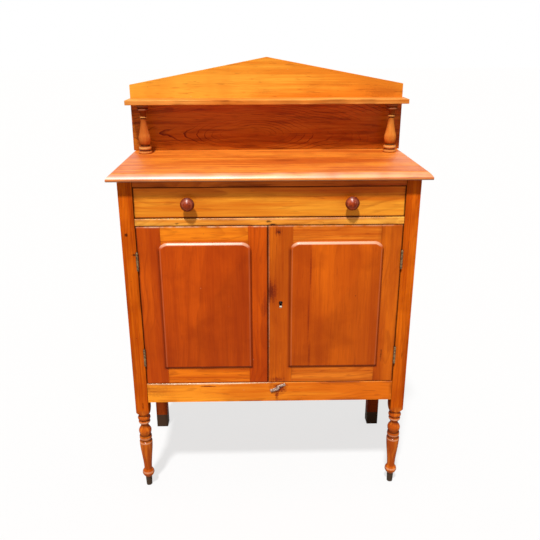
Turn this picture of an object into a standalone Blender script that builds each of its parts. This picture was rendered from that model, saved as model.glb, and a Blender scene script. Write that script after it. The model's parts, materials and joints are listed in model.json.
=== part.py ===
"""A meat safe: a ventilated pine cupboard on turned legs, with a drawer, two doors and a small gallery.

Metres, +Z up, the front faces -Y. Sizes are laid out with Y = 0 on the front face of the front posts,
and the whole is then set with the middle of its footprint over the origin.
"""

import math

import bmesh
import bpy
from mathutils import Matrix, Vector

# Fits
JOINT_GAP = 0.0003
DOOR_CLEARANCE = 0.0015
MEETING_GAP = 0.0020
HINGE_GAP = 0.0020
DRAWER_CLEARANCE = 0.0015
DRAWER_LIFT = 0.0005
STOP_GAP = 0.0008

# Case
CASE_WIDTH = 0.934
CASE_DEPTH = 0.430
POST = 0.045
RAIL_THICKNESS = 0.022
RAIL_SETBACK = 0.001
POST_BELOW_RAIL = 0.036
SHOULDER_HEIGHT = 0.0195
SHOULDER_STEP = 0.001
BOTTOM_RAIL_HEIGHT = 0.073
DOOR_OPENING_HEIGHT = 0.560
MIDDLE_RAIL_HEIGHT = 0.024
DRAWER_OPENING_HEIGHT = 0.100
TOP_RAIL_HEIGHT = 0.022
BACK_BOARD_THICKNESS = 0.012
BACK_REBATE = 0.012
BACK_BOARDS = ("back_board_lower", "back_board_middle", "back_board_upper")

# Sides
SIDE_THICKNESS = 0.020
SIDE_SETBACK = 0.003
SIDE_RAIL_HEIGHT = 0.065
GAUZE_THICKNESS = 0.001
GAUZE_LAP = 0.015
GAUZE_BORDER = 0.012
GAUZE_BAR = 0.004
GAUZE_COLUMNS = 8
GAUZE_ROWS = 12

# Inside
FLOOR_THICKNESS = 0.018
SHELF_THICKNESS = 0.018
SHELF_HEIGHT = 0.242
SHELF_SETBACK = 0.003
BEARER_WIDTH = 0.020
BEARER_HEIGHT = 0.022
BEARER_FRONT = 0.030
RUNNER_WIDTH = 0.030

# Top and gallery
SLAB_THICKNESS = 0.025
SLAB_FRONT_OVERHANG = 0.030
SLAB_SIDE_OVERHANG = 0.028
SLAB_ROUND = 0.0157
SLAB_ROUND_DROP = 0.018
SLAB_SWELL = 0.33
SLAB_UNDER_ROUND = 0.003
COLUMN_INSET = {"left": 0.0635, "right": 0.060}
COLUMN_FROM_BACKBOARD = 0.064
GALLERY_SHELF_THICKNESS = 0.016
GALLERY_SHELF_DEPTH = 0.090
GALLERY_SHELF_INSET = 0.0065
BACKBOARD_THICKNESS = 0.020
BACKBOARD_INSET = 0.011
BACKBOARD_SHOULDER = 0.230
GABLE_RISE = 0.091

# Drawer
DRAWER_SETBACK = 0.003
DRAWER_FRONT_THICKNESS = 0.022
DRAWER_WALL = 0.012
DRAWER_SIDE_DROP = 0.014
DRAWER_BACK_DROP = 0.004
DRAWER_BOTTOM_THICKNESS = 0.006
DRAWER_BOTTOM_RAISE = 0.008
DRAWER_GROOVE = 0.005
DRAWER_BACK_ROOM = 0.045
KNOB_SPREAD = 0.506
KNOB_SPIGOT = 0.018
KNOB_SPIGOT_RADIUS = 0.008

# Doors
DOOR_SETBACK = 0.001
DOOR_THICKNESS = 0.022
MEETING_OFFSET = -0.0065
HINGE_STILE = {"left": 0.075, "right": 0.067}
MEETING_STILE = {"left": 0.061, "right": 0.079}
DOOR_TOP_RAIL = 0.063
DOOR_BOTTOM_RAIL = 0.070
PANEL_LAP = 0.010
PANEL_RAISE = 0.007
PANEL_BODY = 0.012
PANEL_CORNER = 0.032
PANEL_ROUND = 0.0084
PANEL_ROUND_DROP = 0.0066
PANEL_SWELL = 0.33
PANEL_OVERLAP = 0.0008

# Hinges
HINGE_LENGTH = 0.062
HINGE_FROM_TOP = 0.115
HINGE_FROM_BOTTOM = 0.103
HINGE_LEAF = 0.018
HINGE_LEAF_THICKNESS = 0.0016
HINGE_BARREL_RADIUS = 0.004
HINGE_PIN_RADIUS = 0.002
HINGE_PIN_CLEARANCE = 0.00015
HINGE_PIN_HEAD = 0.001
HINGE_PIN_HEAD_RADIUS = 0.0032
KNUCKLE_GAP = 0.0004

# Lock
KEYHOLE_HEIGHT = 0.290
KEY_BACKSET = 0.041
KEYHOLE_EYE_RADIUS = 0.0066
KEYHOLE_SLOT_WIDTH = 0.0100
KEYHOLE_LENGTH = 0.025
KEY_POCKET = 0.004
LOCK_SLOT_WIDTH = 0.0045
LOCK_SLOT_DROP = 0.010
LOCK_BEYOND_KEY = 0.016
LOCK_HEIGHT = 0.056
LOCK_DEPTH = 0.011
BOLT_LENGTH = 0.040
BOLT_HEIGHT = 0.010
BOLT_THICKNESS = 0.005
BOLT_RAISE = 0.0185
BOLT_THROW = 0.008

# Turn-button
BUTTON_OFFSET = 0.0345
BUTTON_DROP = 0.0186
BUTTON_UPPER_ARM = 0.028
BUTTON_LOWER_ARM = 0.030
BUTTON_WIDTH = 0.011
BUTTON_THICKNESS = 0.003
BUTTON_BOSS_RADIUS = 0.0068
BUTTON_BOSS_RISE = 0.0018
BUTTON_REST = math.radians(33)
BUTTON_SCREW_RADIUS = 0.0021
BUTTON_SCREW_DEPTH = 0.014
BUTTON_SCREW_HEAD_RADIUS = 0.0046
BUTTON_SCREW_HEAD = 0.0022

# Turnings, from the foot up: height, radius at the foot, at the belly and at the head. No belly is straight.
LEG_TURNING = (
    (0.037, 0.0102, None, 0.0116),
    (0.033, 0.0122, 0.0212, 0.0138),
    (0.119, 0.0138, None, 0.0226),
    (0.009, 0.0226, 0.0185, 0.0200),
    (0.016, 0.0205, 0.0218, 0.0205),
    (0.003, 0.0190, None, 0.0180),
    (0.033, 0.0180, 0.0222, 0.0145),
    (0.012, 0.0145, 0.0132, 0.0160),
    (0.015, 0.0160, 0.0206, 0.0175),
    (0.017, 0.0175, 0.0222, 0.0185),
    (0.0075, 0.0185, None, 0.0195),
)
COLUMN_TURNING = (
    (0.009, 0.0222, 0.0232, 0.0222),
    (0.0045, 0.0190, None, 0.0185),
    (0.0115, 0.0198, 0.0215, 0.0198),
    (0.003, 0.0150, None, 0.0138),
    (0.026, 0.0138, 0.0198, 0.0208),
    (0.065, 0.0208, 0.0136, 0.0088),
    (0.003, 0.0082, None, 0.0082),
    (0.006, 0.0105, 0.0120, 0.0105),
    (0.018, 0.0092, 0.0102, 0.0135),
    (0.008, 0.0198, 0.0209, 0.0198),
    (0.003, 0.0170, None, 0.0170),
    (0.010, 0.0190, 0.0206, 0.0200),
)
KNOB_TURNING = (
    (0.004, 0.0125, 0.0132, 0.0120),
    (0.008, 0.0105, 0.0088, 0.0115),
    (0.012, 0.0120, 0.0195, 0.0220),
    (0.014, 0.0220, 0.0162, 0.0060),
)

# Fineness of round work
TURNING_STEPS = 16
ROUND_POINTS = 4
HINGE_STEPS = 12
SLAB_ROUND_STEPS = 6
SLAB_UNDER_ROUND_STEPS = 2
PANEL_CORNER_STEPS = 6
PANEL_ROUND_STEPS = 3
# Swell of a rounded edge: a half is a circle, a quarter is a straight bevel
CIRCLE = 0.5
SHARP_ANGLE = math.radians(35)
MERGE_DISTANCE = 0.00001

# Finishes: colour, roughness, metallic
RAIL_PINE = ((0.80, 0.28, 0.035), 0.32, 0.0)
STILE_PINE = ((0.54, 0.12, 0.012), 0.30, 0.0)
SLAB_PINE = ((0.72, 0.20, 0.030), 0.28, 0.0)
KNOB_WOOD = ((0.22, 0.035, 0.012), 0.22, 0.0)
RAW_PINE = ((0.50, 0.26, 0.10), 0.62, 0.0)
IRON = ((0.17, 0.12, 0.09), 0.48, 1.0)
BRASS = ((0.30, 0.20, 0.09), 0.45, 1.0)
ZINC_GAUZE = ((0.30, 0.31, 0.31), 0.50, 1.0)

# Levels, from the floor up
LEG_HEIGHT = sum(part[0] for part in LEG_TURNING)
RAIL_BASE = LEG_HEIGHT + SHOULDER_HEIGHT + POST_BELOW_RAIL
DOOR_BASE = RAIL_BASE + BOTTOM_RAIL_HEIGHT
DOOR_TOP = DOOR_BASE + DOOR_OPENING_HEIGHT
DRAWER_BASE = DOOR_TOP + MIDDLE_RAIL_HEIGHT
DRAWER_TOP = DRAWER_BASE + DRAWER_OPENING_HEIGHT
CASE_TOP = DRAWER_TOP + TOP_RAIL_HEIGHT
SLAB_TOP = CASE_TOP + SLAB_THICKNESS
GALLERY_HEIGHT = sum(part[0] for part in COLUMN_TURNING) + 2 * JOINT_GAP
FLOOR_TOP = RAIL_BASE + SIDE_RAIL_HEIGHT + JOINT_GAP + FLOOR_THICKNESS

# Places across and along the case
HALF_CASE = CASE_WIDTH / 2
HALF_OPENING = HALF_CASE - POST
HALF_SLAB = HALF_CASE + SLAB_SIDE_OVERHANG
POST_BACK = CASE_DEPTH - POST
BACK_INSIDE = CASE_DEPTH - BACK_BOARD_THICKNESS
RAIL_BACK = RAIL_SETBACK + RAIL_THICKNESS
DOOR_BACK = DOOR_SETBACK + DOOR_THICKNESS
CUPBOARD_FRONT = max(RAIL_BACK, DOOR_BACK) + STOP_GAP
BACKBOARD_FACE = CASE_DEPTH - BACKBOARD_THICKNESS
KNOB_REACH = sum(part[0] for part in KNOB_TURNING) + JOINT_GAP - DRAWER_SETBACK
FRONT_REACH = max(SLAB_FRONT_OVERHANG, KNOB_REACH)
MIDDLE_OF_DEPTH = (CASE_DEPTH - FRONT_REACH) / 2
HINGE_X = HALF_OPENING - HINGE_GAP / 2
HINGE_Y = -(HINGE_BARREL_RADIUS + KNUCKLE_GAP)
HINGE_LEVELS = {"upper": DOOR_TOP - HINGE_FROM_TOP, "lower": DOOR_BASE + HINGE_FROM_BOTTOM}
MEETING_EDGE = {"left": MEETING_OFFSET - MEETING_GAP / 2, "right": MEETING_OFFSET + MEETING_GAP / 2}
KEYHOLE_X = MEETING_EDGE["right"] + KEY_BACKSET
KEYHOLE_Z = DOOR_BASE + KEYHOLE_HEIGHT
BUTTON_X = MEETING_OFFSET + BUTTON_OFFSET
BUTTON_Z = DOOR_BASE - BUTTON_DROP
SIDES = {"left": -1, "right": 1}
OVERCUT = 0.010
AXIS_MARK = 0.03


def new_collection(name):
    collection = bpy.data.collections.new(name)
    bpy.context.scene.collection.children.link(collection)
    return collection


for leftover in list(bpy.data.objects):
    bpy.data.objects.remove(leftover)
PARTS = new_collection("meat_safe")
TOOLS = new_collection("meat_safe_cutters")
ANCHOR_AT = {}


def add_anchor(name, at, parent=None):
    """An empty that carries pieces: the case's own, or one on a joint's axis."""
    anchor = bpy.data.objects.new(name, None)
    anchor.empty_display_size = AXIS_MARK
    PARTS.objects.link(anchor)
    ANCHOR_AT[name] = Vector(at)
    if parent:
        anchor.parent = parent
    anchor.location = ANCHOR_AT[name] - (ANCHOR_AT[parent.name] if parent else Vector())
    return anchor


def give_finish(obj, finish):
    colour, roughness, metallic = finish
    material = bpy.data.materials.new(obj.name + "_finish")
    material.use_nodes = True
    shader = material.node_tree.nodes["Principled BSDF"]
    shader.inputs["Base Color"].default_value = (*colour, 1)
    shader.inputs["Roughness"].default_value = roughness
    shader.inputs["Metallic"].default_value = metallic
    obj.data.materials.append(material)


def add_part(name, mesh, at, finish, anchor):
    part = bpy.data.objects.new(name, mesh)
    PARTS.objects.link(part)
    part.parent = anchor
    part.location = Vector(at) - ANCHOR_AT[anchor.name]
    give_finish(part, finish)
    return part


def add_tool(name, mesh, at):
    """A hidden shape that cuts or joins a part, at a place in the case's own layout."""
    tool = bpy.data.objects.new(name, mesh)
    TOOLS.objects.link(tool)
    tool.parent = CASE
    tool.location = at
    tool.hide_render = True
    tool.display_type = "WIRE"
    return tool


def combine(part, tool, operation):
    modifier = part.modifiers.new(operation.lower() + "_" + tool.name, "BOOLEAN")
    modifier.operation = operation
    modifier.solver = "EXACT"
    modifier.object = tool


def mesh_from(bm, name):
    bmesh.ops.recalc_face_normals(bm, faces=bm.faces)
    mesh = bpy.data.meshes.new(name)
    bm.to_mesh(mesh)
    bm.free()
    return mesh


def box_bmesh(low, high):
    """A box centred on its own origin, and the place of its middle."""
    size = Vector(high) - Vector(low)
    bm = bmesh.new()
    bmesh.ops.create_cube(bm, size=1)
    bmesh.ops.scale(bm, vec=size, verts=bm.verts)
    return bm, (Vector(low) + Vector(high)) / 2


def add_board(name, x, y, z, finish, anchor):
    """A board given by its (low, high) reach along each axis."""
    bm, middle = box_bmesh((x[0], y[0], z[0]), (x[1], y[1], z[1]))
    return add_part(name, mesh_from(bm, name), middle, finish, anchor)


def box_tool(name, x, y, z):
    bm, middle = box_bmesh((x[0], y[0], z[0]), (x[1], y[1], z[1]))
    return add_tool(name, mesh_from(bm, name), middle)


def round_tool(name, radius, start, end, steps):
    """A cylinder between two places."""
    axis = Vector(end) - Vector(start)
    bm = bmesh.new()
    bmesh.ops.create_cone(
        bm, cap_ends=True, segments=steps, radius1=radius, radius2=radius, depth=axis.length
    )
    turn = Vector((0, 0, 1)).rotation_difference(axis).to_matrix()
    bmesh.ops.rotate(bm, cent=(0, 0, 0), matrix=turn, verts=bm.verts)
    return add_tool(name, mesh_from(bm, name), (Vector(start) + Vector(end)) / 2)


def round_edges(bm, edges, radius, steps, swell=CIRCLE):
    bmesh.ops.bevel(
        bm, geom=edges, offset=radius, segments=steps, profile=swell, affect="EDGES", clamp_overlap=True
    )


def mirrored(side, near, far):
    """The (low, high) reach in X of something between two distances from the middle, on one side."""
    return tuple(sorted((SIDES[side] * near, SIDES[side] * far)))


def turned_outline(turning):
    """Points (radius, height) up the outside of a turning."""
    outline = []
    height = 0
    for length, foot, belly, head in turning:
        if belly is None:
            steps = 1
            swell = 0
        else:
            steps = ROUND_POINTS
            swell = belly - (foot + head) / 2
        for step in range(steps + 1):
            share = step / steps
            radius = foot + (head - foot) * share + swell * math.sin(math.pi * share)
            point = (radius, height + length * share)
            if not outline or (Vector(point) - Vector(outline[-1])).length > JOINT_GAP:
                outline.append(point)
        height += length
    return outline


def turn_profile(name, outline):
    """A mesh of one edge line, top to bottom down the outer side, closed on the axis at both ends."""
    top = outline[-1][1]
    bottom = outline[0][1]
    points = [(0, top)] + list(reversed(outline)) + [(0, bottom)]
    mesh = bpy.data.meshes.new(name)
    vertices = [(radius, 0, height) for radius, height in points]
    edges = [(index, index + 1) for index in range(len(points) - 1)]
    mesh.from_pydata(vertices, edges, [])
    return mesh


def spin(obj, steps=TURNING_STEPS):
    screw = obj.modifiers.new("turning", "SCREW")
    screw.axis = "Z"
    screw.angle = math.tau
    screw.steps = steps
    screw.render_steps = steps
    screw.use_merge_vertices = True
    screw.merge_threshold = MERGE_DISTANCE
    screw.use_smooth_shade = True


def shade_round(obj):
    obj.data.shade_smooth()
    obj.data.set_sharp_from_angle(angle=SHARP_ANGLE)


CASE = add_anchor("meat_safe_case", (0, 0, 0))


def make_front_posts():
    """Square posts whose lower ends are turned: a rounded shoulder, then the leg."""
    shoulder_foot = LEG_HEIGHT - JOINT_GAP
    neck = LEG_TURNING[-1][3]
    corner = POST * math.sqrt(0.5)
    for side in SIDES:
        name = "front_post_" + side
        centre_x = SIDES[side] * (HALF_CASE - POST / 2)
        post = add_board(
            name,
            mirrored(side, HALF_OPENING, HALF_CASE),
            (0, POST),
            (shoulder_foot, CASE_TOP - JOINT_GAP),
            RAIL_PINE,
            CASE,
        )
        centre = (centre_x, POST / 2, 0)
        shoulder = [(neck + SHOULDER_STEP, shoulder_foot - JOINT_GAP)]
        for step in range(1, ROUND_POINTS + 1):
            share = step / ROUND_POINTS
            flare = math.sin(share * math.pi / 2) * (corner - neck)
            shoulder.append((neck + flare, shoulder_foot + SHOULDER_HEIGHT * share))
        shoulder.append((corner + OVERCUT, shoulder_foot + SHOULDER_HEIGHT + OVERCUT))
        shoulder.append((corner + OVERCUT, CASE_TOP + OVERCUT))
        lathe = add_tool(name + "_shoulder", turn_profile(name + "_shoulder", shoulder), centre)
        spin(lathe)
        combine(post, lathe, "INTERSECT")
        leg_outline = turned_outline(LEG_TURNING) + [(neck, LEG_HEIGHT + SHOULDER_HEIGHT)]
        leg = add_tool(name + "_leg", turn_profile(name + "_leg", leg_outline), centre)
        spin(leg)
        combine(post, leg, "UNION")
        for level, z in HINGE_LEVELS.items():
            combine(post, hinge_mortise(name + "_" + level, side, HALF_OPENING, z), "DIFFERENCE")


def hinge_mortise(name, side, face, z):
    """The shallow bed that a hinge leaf is let into, in the face at this distance from the middle."""
    depth = HINGE_LEAF_THICKNESS + JOINT_GAP
    bed = (face - OVERCUT, face + depth) if face >= HALF_OPENING else (face - depth, face + OVERCUT)
    half = HINGE_LENGTH / 2 + JOINT_GAP
    return box_tool(
        name + "_mortise",
        mirrored(side, *bed),
        (-OVERCUT, HINGE_LEAF + JOINT_GAP),
        (z - half, z + half),
    )


def make_back_posts():
    for side in SIDES:
        post = add_board(
            "back_post_" + side,
            mirrored(side, HALF_OPENING, HALF_CASE),
            (POST_BACK, CASE_DEPTH),
            (0, CASE_TOP - JOINT_GAP),
            RAIL_PINE,
            CASE,
        )
        rebate = box_tool(
            "back_post_" + side + "_rebate",
            mirrored(side, HALF_OPENING - OVERCUT, HALF_OPENING + BACK_REBATE + JOINT_GAP),
            (BACK_INSIDE - JOINT_GAP, CASE_DEPTH + OVERCUT),
            (RAIL_BASE - JOINT_GAP, CASE_TOP + OVERCUT),
        )
        combine(post, rebate, "DIFFERENCE")


def make_rails():
    reach = (-HALF_OPENING + JOINT_GAP, HALF_OPENING - JOINT_GAP)
    depth = (RAIL_SETBACK, RAIL_BACK)
    add_board("top_rail", reach, depth, (DRAWER_TOP, CASE_TOP - JOINT_GAP), RAIL_PINE, CASE)
    add_board("middle_rail", reach, depth, (DOOR_TOP, DRAWER_BASE), RAIL_PINE, CASE)
    rail = add_board("bottom_rail", reach, depth, (RAIL_BASE, DOOR_BASE), RAIL_PINE, CASE)
    screw_hole = round_tool(
        "bottom_rail_screw_hole",
        BUTTON_SCREW_RADIUS + JOINT_GAP,
        (BUTTON_X, RAIL_SETBACK - OVERCUT, BUTTON_Z),
        (BUTTON_X, RAIL_SETBACK + BUTTON_SCREW_DEPTH + JOINT_GAP, BUTTON_Z),
        HINGE_STEPS,
    )
    combine(rail, screw_hole, "DIFFERENCE")


def make_back_boards():
    step = (CASE_TOP - RAIL_BASE) / len(BACK_BOARDS)
    half = HALF_OPENING + BACK_REBATE
    for index, name in enumerate(BACK_BOARDS):
        foot = RAIL_BASE + step * index
        add_board(
            name,
            (-half, half),
            (BACK_INSIDE, CASE_DEPTH),
            (foot, foot + step - JOINT_GAP),
            RAW_PINE,
            CASE,
        )


def make_sides():
    outer = HALF_CASE - SIDE_SETBACK
    inner = outer - SIDE_THICKNESS
    along = (POST + JOINT_GAP, POST_BACK - JOINT_GAP)
    for side in SIDES:
        x = mirrored(side, inner, outer)
        top_board = (DOOR_TOP, CASE_TOP - JOINT_GAP)
        bottom_rail = (RAIL_BASE, RAIL_BASE + SIDE_RAIL_HEIGHT)
        add_board("side_top_board_" + side, x, along, top_board, RAIL_PINE, CASE)
        add_board("side_bottom_rail_" + side, x, along, bottom_rail, RAIL_PINE, CASE)
        gauze_foot = FLOOR_TOP + JOINT_GAP
        gauze = add_board(
            "gauze_" + side,
            mirrored(side, inner - JOINT_GAP - GAUZE_THICKNESS, inner - JOINT_GAP),
            along,
            (gauze_foot, DOOR_TOP + GAUZE_LAP),
            ZINC_GAUZE,
            CASE,
        )
        through = mirrored(side, inner - OVERCUT, inner + OVERCUT)
        openings = gauze_openings("gauze_openings_" + side, through, along, (gauze_foot, DOOR_TOP))
        combine(gauze, openings, "DIFFERENCE")


def gauze_openings(name, x, y, z):
    """Even rows and columns of boxes, inside a plain border, that leave the gauze as a grid of bars."""
    first_y = y[0] + GAUZE_BORDER
    first_z = z[0] + GAUZE_BORDER
    step_y = (y[1] - GAUZE_BORDER + GAUZE_BAR - first_y) / GAUZE_COLUMNS
    step_z = (z[1] - GAUZE_BORDER + GAUZE_BAR - first_z) / GAUZE_ROWS
    wide = (first_y, first_y + step_y - GAUZE_BAR)
    tall = (first_z, first_z + step_z - GAUZE_BAR)
    openings = box_tool(name, x, wide, tall)
    repeats = {"columns": (GAUZE_COLUMNS, (0, step_y, 0)), "rows": (GAUZE_ROWS, (0, 0, step_z))}
    for repeat, (count, offset) in repeats.items():
        array = openings.modifiers.new(repeat, "ARRAY")
        array.count = count
        array.use_relative_offset = False
        array.use_constant_offset = True
        array.constant_offset_displace = offset
    return openings


def make_inside():
    outer = HALF_CASE - SIDE_SETBACK
    floor = add_board(
        "cupboard_floor",
        (-outer, outer),
        (CUPBOARD_FRONT, BACK_INSIDE - JOINT_GAP),
        (FLOOR_TOP - FLOOR_THICKNESS, FLOOR_TOP),
        RAW_PINE,
        CASE,
    )
    notch = HALF_OPENING - JOINT_GAP
    for side in SIDES:
        across = mirrored(side, notch, HALF_CASE + OVERCUT)
        up = (FLOOR_TOP - FLOOR_THICKNESS - OVERCUT, FLOOR_TOP + OVERCUT)
        ends = {
            "front": (CUPBOARD_FRONT - OVERCUT, POST + JOINT_GAP),
            "back": (POST_BACK - JOINT_GAP, CASE_DEPTH + OVERCUT),
        }
        for end, along in ends.items():
            combine(floor, box_tool("floor_notch_" + end + "_" + side, across, along, up), "DIFFERENCE")
    shelf_foot = FLOOR_TOP + SHELF_HEIGHT
    add_board(
        "cupboard_shelf",
        (-notch, notch),
        (CUPBOARD_FRONT + SHELF_SETBACK, BACK_INSIDE - JOINT_GAP),
        (shelf_foot, shelf_foot + SHELF_THICKNESS),
        RAW_PINE,
        CASE,
    )
    for side in SIDES:
        add_board(
            "shelf_bearer_" + side,
            mirrored(side, notch - BEARER_WIDTH, notch),
            (BEARER_FRONT, BACK_INSIDE - JOINT_GAP),
            (shelf_foot - JOINT_GAP - BEARER_HEIGHT, shelf_foot - JOINT_GAP),
            RAW_PINE,
            CASE,
        )
        add_board(
            "drawer_runner_" + side,
            mirrored(side, notch - RUNNER_WIDTH, notch),
            (RAIL_BACK + JOINT_GAP, BACK_INSIDE - JOINT_GAP),
            (DOOR_TOP, DRAWER_BASE),
            RAW_PINE,
            CASE,
        )


def make_slab():
    """A slab whose edge is a swelling bevel, shaped while the slab is stretched in height."""
    bm, middle = box_bmesh(
        (-HALF_SLAB, -SLAB_FRONT_OVERHANG, CASE_TOP),
        (HALF_SLAB, CASE_DEPTH, SLAB_TOP),
    )
    stretch = SLAB_ROUND / SLAB_ROUND_DROP
    bmesh.ops.scale(bm, vec=(1, 1, stretch), verts=bm.verts)
    back = max(vert.co.y for vert in bm.verts)
    half = stretch * SLAB_THICKNESS / 2
    rims = (
        (half, SLAB_ROUND, SLAB_ROUND_STEPS, SLAB_SWELL),
        (-half, SLAB_UNDER_ROUND, SLAB_UNDER_ROUND_STEPS, CIRCLE),
    )
    for level, radius, steps, swell in rims:
        rim = [
            edge
            for edge in bm.edges
            if all(abs(vert.co.z - level) < MERGE_DISTANCE for vert in edge.verts)
            and not all(abs(vert.co.y - back) < MERGE_DISTANCE for vert in edge.verts)
        ]
        round_edges(bm, rim, radius, steps, swell)
    bmesh.ops.scale(bm, vec=(1, 1, 1 / stretch), verts=bm.verts)
    slab = add_part("top_slab", mesh_from(bm, "top_slab"), middle, SLAB_PINE, CASE)
    shade_round(slab)


def make_gallery():
    half = HALF_SLAB - BACKBOARD_INSET
    outline = [
        (-half, SLAB_TOP + JOINT_GAP),
        (half, SLAB_TOP + JOINT_GAP),
        (half, SLAB_TOP + BACKBOARD_SHOULDER),
        (0, SLAB_TOP + BACKBOARD_SHOULDER + GABLE_RISE),
        (-half, SLAB_TOP + BACKBOARD_SHOULDER),
    ]
    bm = bmesh.new()
    face = bm.faces.new([bm.verts.new((x, -BACKBOARD_THICKNESS / 2, z)) for x, z in outline])
    grown = bmesh.ops.extrude_face_region(bm, geom=[face])["geom"]
    thickness = Vector((0, BACKBOARD_THICKNESS, 0))
    bmesh.ops.translate(bm, vec=thickness, verts=[v for v in grown if isinstance(v, bmesh.types.BMVert)])
    place = (0, CASE_DEPTH - BACKBOARD_THICKNESS / 2, 0)
    add_part("gallery_backboard", mesh_from(bm, "gallery_backboard"), place, RAIL_PINE, CASE)
    reach = HALF_SLAB - GALLERY_SHELF_INSET
    foot = SLAB_TOP + GALLERY_HEIGHT
    back = BACKBOARD_FACE - JOINT_GAP
    add_board(
        "gallery_shelf",
        (-reach, reach),
        (back - GALLERY_SHELF_DEPTH, back),
        (foot, foot + GALLERY_SHELF_THICKNESS),
        RAIL_PINE,
        CASE,
    )
    for side in SIDES:
        name = "gallery_column_" + side
        at = (
            SIDES[side] * (HALF_SLAB - COLUMN_INSET[side]),
            BACKBOARD_FACE - COLUMN_FROM_BACKBOARD,
            SLAB_TOP + JOINT_GAP,
        )
        column = add_part(name, turn_profile(name, turned_outline(COLUMN_TURNING)), at, STILE_PINE, CASE)
        spin(column)


def make_drawer():
    half = HALF_OPENING - DRAWER_CLEARANCE
    front = (DRAWER_SETBACK, DRAWER_SETBACK + DRAWER_FRONT_THICKNESS)
    box_front = front[1] + JOINT_GAP
    box_back = BACK_INSIDE - DRAWER_BACK_ROOM
    base = DRAWER_BASE + DRAWER_LIFT
    wall_top = DRAWER_TOP - DRAWER_SIDE_DROP
    bottom_foot = base + DRAWER_BOTTOM_RAISE
    bottom_top = bottom_foot + DRAWER_BOTTOM_THICKNESS
    anchor = add_anchor("drawer_slide_axis", (0, front[0], (base + DRAWER_TOP) / 2), CASE)
    panel = add_board(
        "drawer_front",
        (-half, half),
        front,
        (DRAWER_BASE + DRAWER_CLEARANCE, DRAWER_TOP - DRAWER_CLEARANCE),
        RAIL_PINE,
        anchor,
    )
    for side in SIDES:
        wall = add_board(
            "drawer_side_" + side,
            mirrored(side, half - DRAWER_WALL, half),
            (box_front, box_back),
            (base, wall_top),
            RAW_PINE,
            anchor,
        )
        groove = box_tool(
            "drawer_groove_" + side,
            mirrored(side, half - DRAWER_WALL - OVERCUT, half - DRAWER_WALL + DRAWER_GROOVE),
            (box_front - OVERCUT, box_back + OVERCUT),
            (bottom_foot - JOINT_GAP, bottom_top + JOINT_GAP),
        )
        combine(wall, groove, "DIFFERENCE")
        make_knob(side, panel, anchor)
    inside = half - DRAWER_WALL - JOINT_GAP
    add_board(
        "drawer_back",
        (-inside, inside),
        (box_back - DRAWER_WALL, box_back),
        (bottom_top + JOINT_GAP, wall_top - DRAWER_BACK_DROP),
        RAW_PINE,
        anchor,
    )
    tongue = half - DRAWER_WALL + DRAWER_GROOVE - JOINT_GAP
    add_board(
        "drawer_bottom",
        (-tongue, tongue),
        (box_front, box_back),
        (bottom_foot, bottom_top),
        RAW_PINE,
        anchor,
    )


def make_knob(side, panel, anchor):
    """A turned knob on the drawer front, its spigot in a bored hole."""
    name = "drawer_knob_" + side
    place = (
        SIDES[side] * KNOB_SPREAD / 2,
        DRAWER_SETBACK - JOINT_GAP,
        (DRAWER_BASE + DRAWER_TOP) / 2,
    )
    spigot = [(KNOB_SPIGOT_RADIUS, -KNOB_SPIGOT), (KNOB_SPIGOT_RADIUS, 0)]
    outline = spigot + turned_outline(KNOB_TURNING)
    knob = add_part(name, turn_profile(name, outline), place, KNOB_WOOD, anchor)
    knob.rotation_euler = (math.pi / 2, 0, 0)
    spin(knob)
    bore = round_tool(
        name + "_bore",
        KNOB_SPIGOT_RADIUS + JOINT_GAP,
        (place[0], place[1] - OVERCUT, place[2]),
        (place[0], place[1] + KNOB_SPIGOT + JOINT_GAP, place[2]),
        TURNING_STEPS,
    )
    combine(panel, bore, "DIFFERENCE")


def make_door(side):
    """A framed door with a raised panel. Its anchor stands on the hinges' axis."""
    sign = SIDES[side]
    name = side + "_door_"
    anchor = add_anchor(name + "hinge_axis", (sign * HINGE_X, HINGE_Y, DOOR_BASE), CASE)
    hinge_edge = HALF_OPENING - HINGE_GAP
    meeting_edge = sign * MEETING_EDGE[side]
    hinge_inner = hinge_edge - HINGE_STILE[side]
    meeting_inner = meeting_edge + MEETING_STILE[side]
    depth = (DOOR_SETBACK, DOOR_BACK)
    foot = DOOR_BASE + DOOR_CLEARANCE
    head = DOOR_TOP - DOOR_CLEARANCE
    outer = mirrored(side, hinge_inner, hinge_edge)
    inner = mirrored(side, meeting_edge, meeting_inner)
    up = (foot, head)
    hinge_stile = add_board(name + "hinge_stile", outer, depth, up, STILE_PINE, anchor)
    meeting_stile = add_board(name + "meeting_stile", inner, depth, up, STILE_PINE, anchor)
    between = mirrored(side, meeting_inner + JOINT_GAP, hinge_inner - JOINT_GAP)
    panel_foot = foot + DOOR_BOTTOM_RAIL
    panel_head = head - DOOR_TOP_RAIL
    add_board(name + "bottom_rail", between, depth, (foot, panel_foot), RAIL_PINE, anchor)
    add_board(name + "top_rail", between, depth, (panel_head, head), RAIL_PINE, anchor)
    make_panel(name + "panel", mirrored(side, meeting_inner, hinge_inner), (panel_foot, panel_head), anchor)
    for level, z in HINGE_LEVELS.items():
        combine(hinge_stile, hinge_mortise(name + level, side, hinge_edge, z), "DIFFERENCE")
        make_hinge(side, level, z, anchor)
    return meeting_stile, anchor


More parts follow.
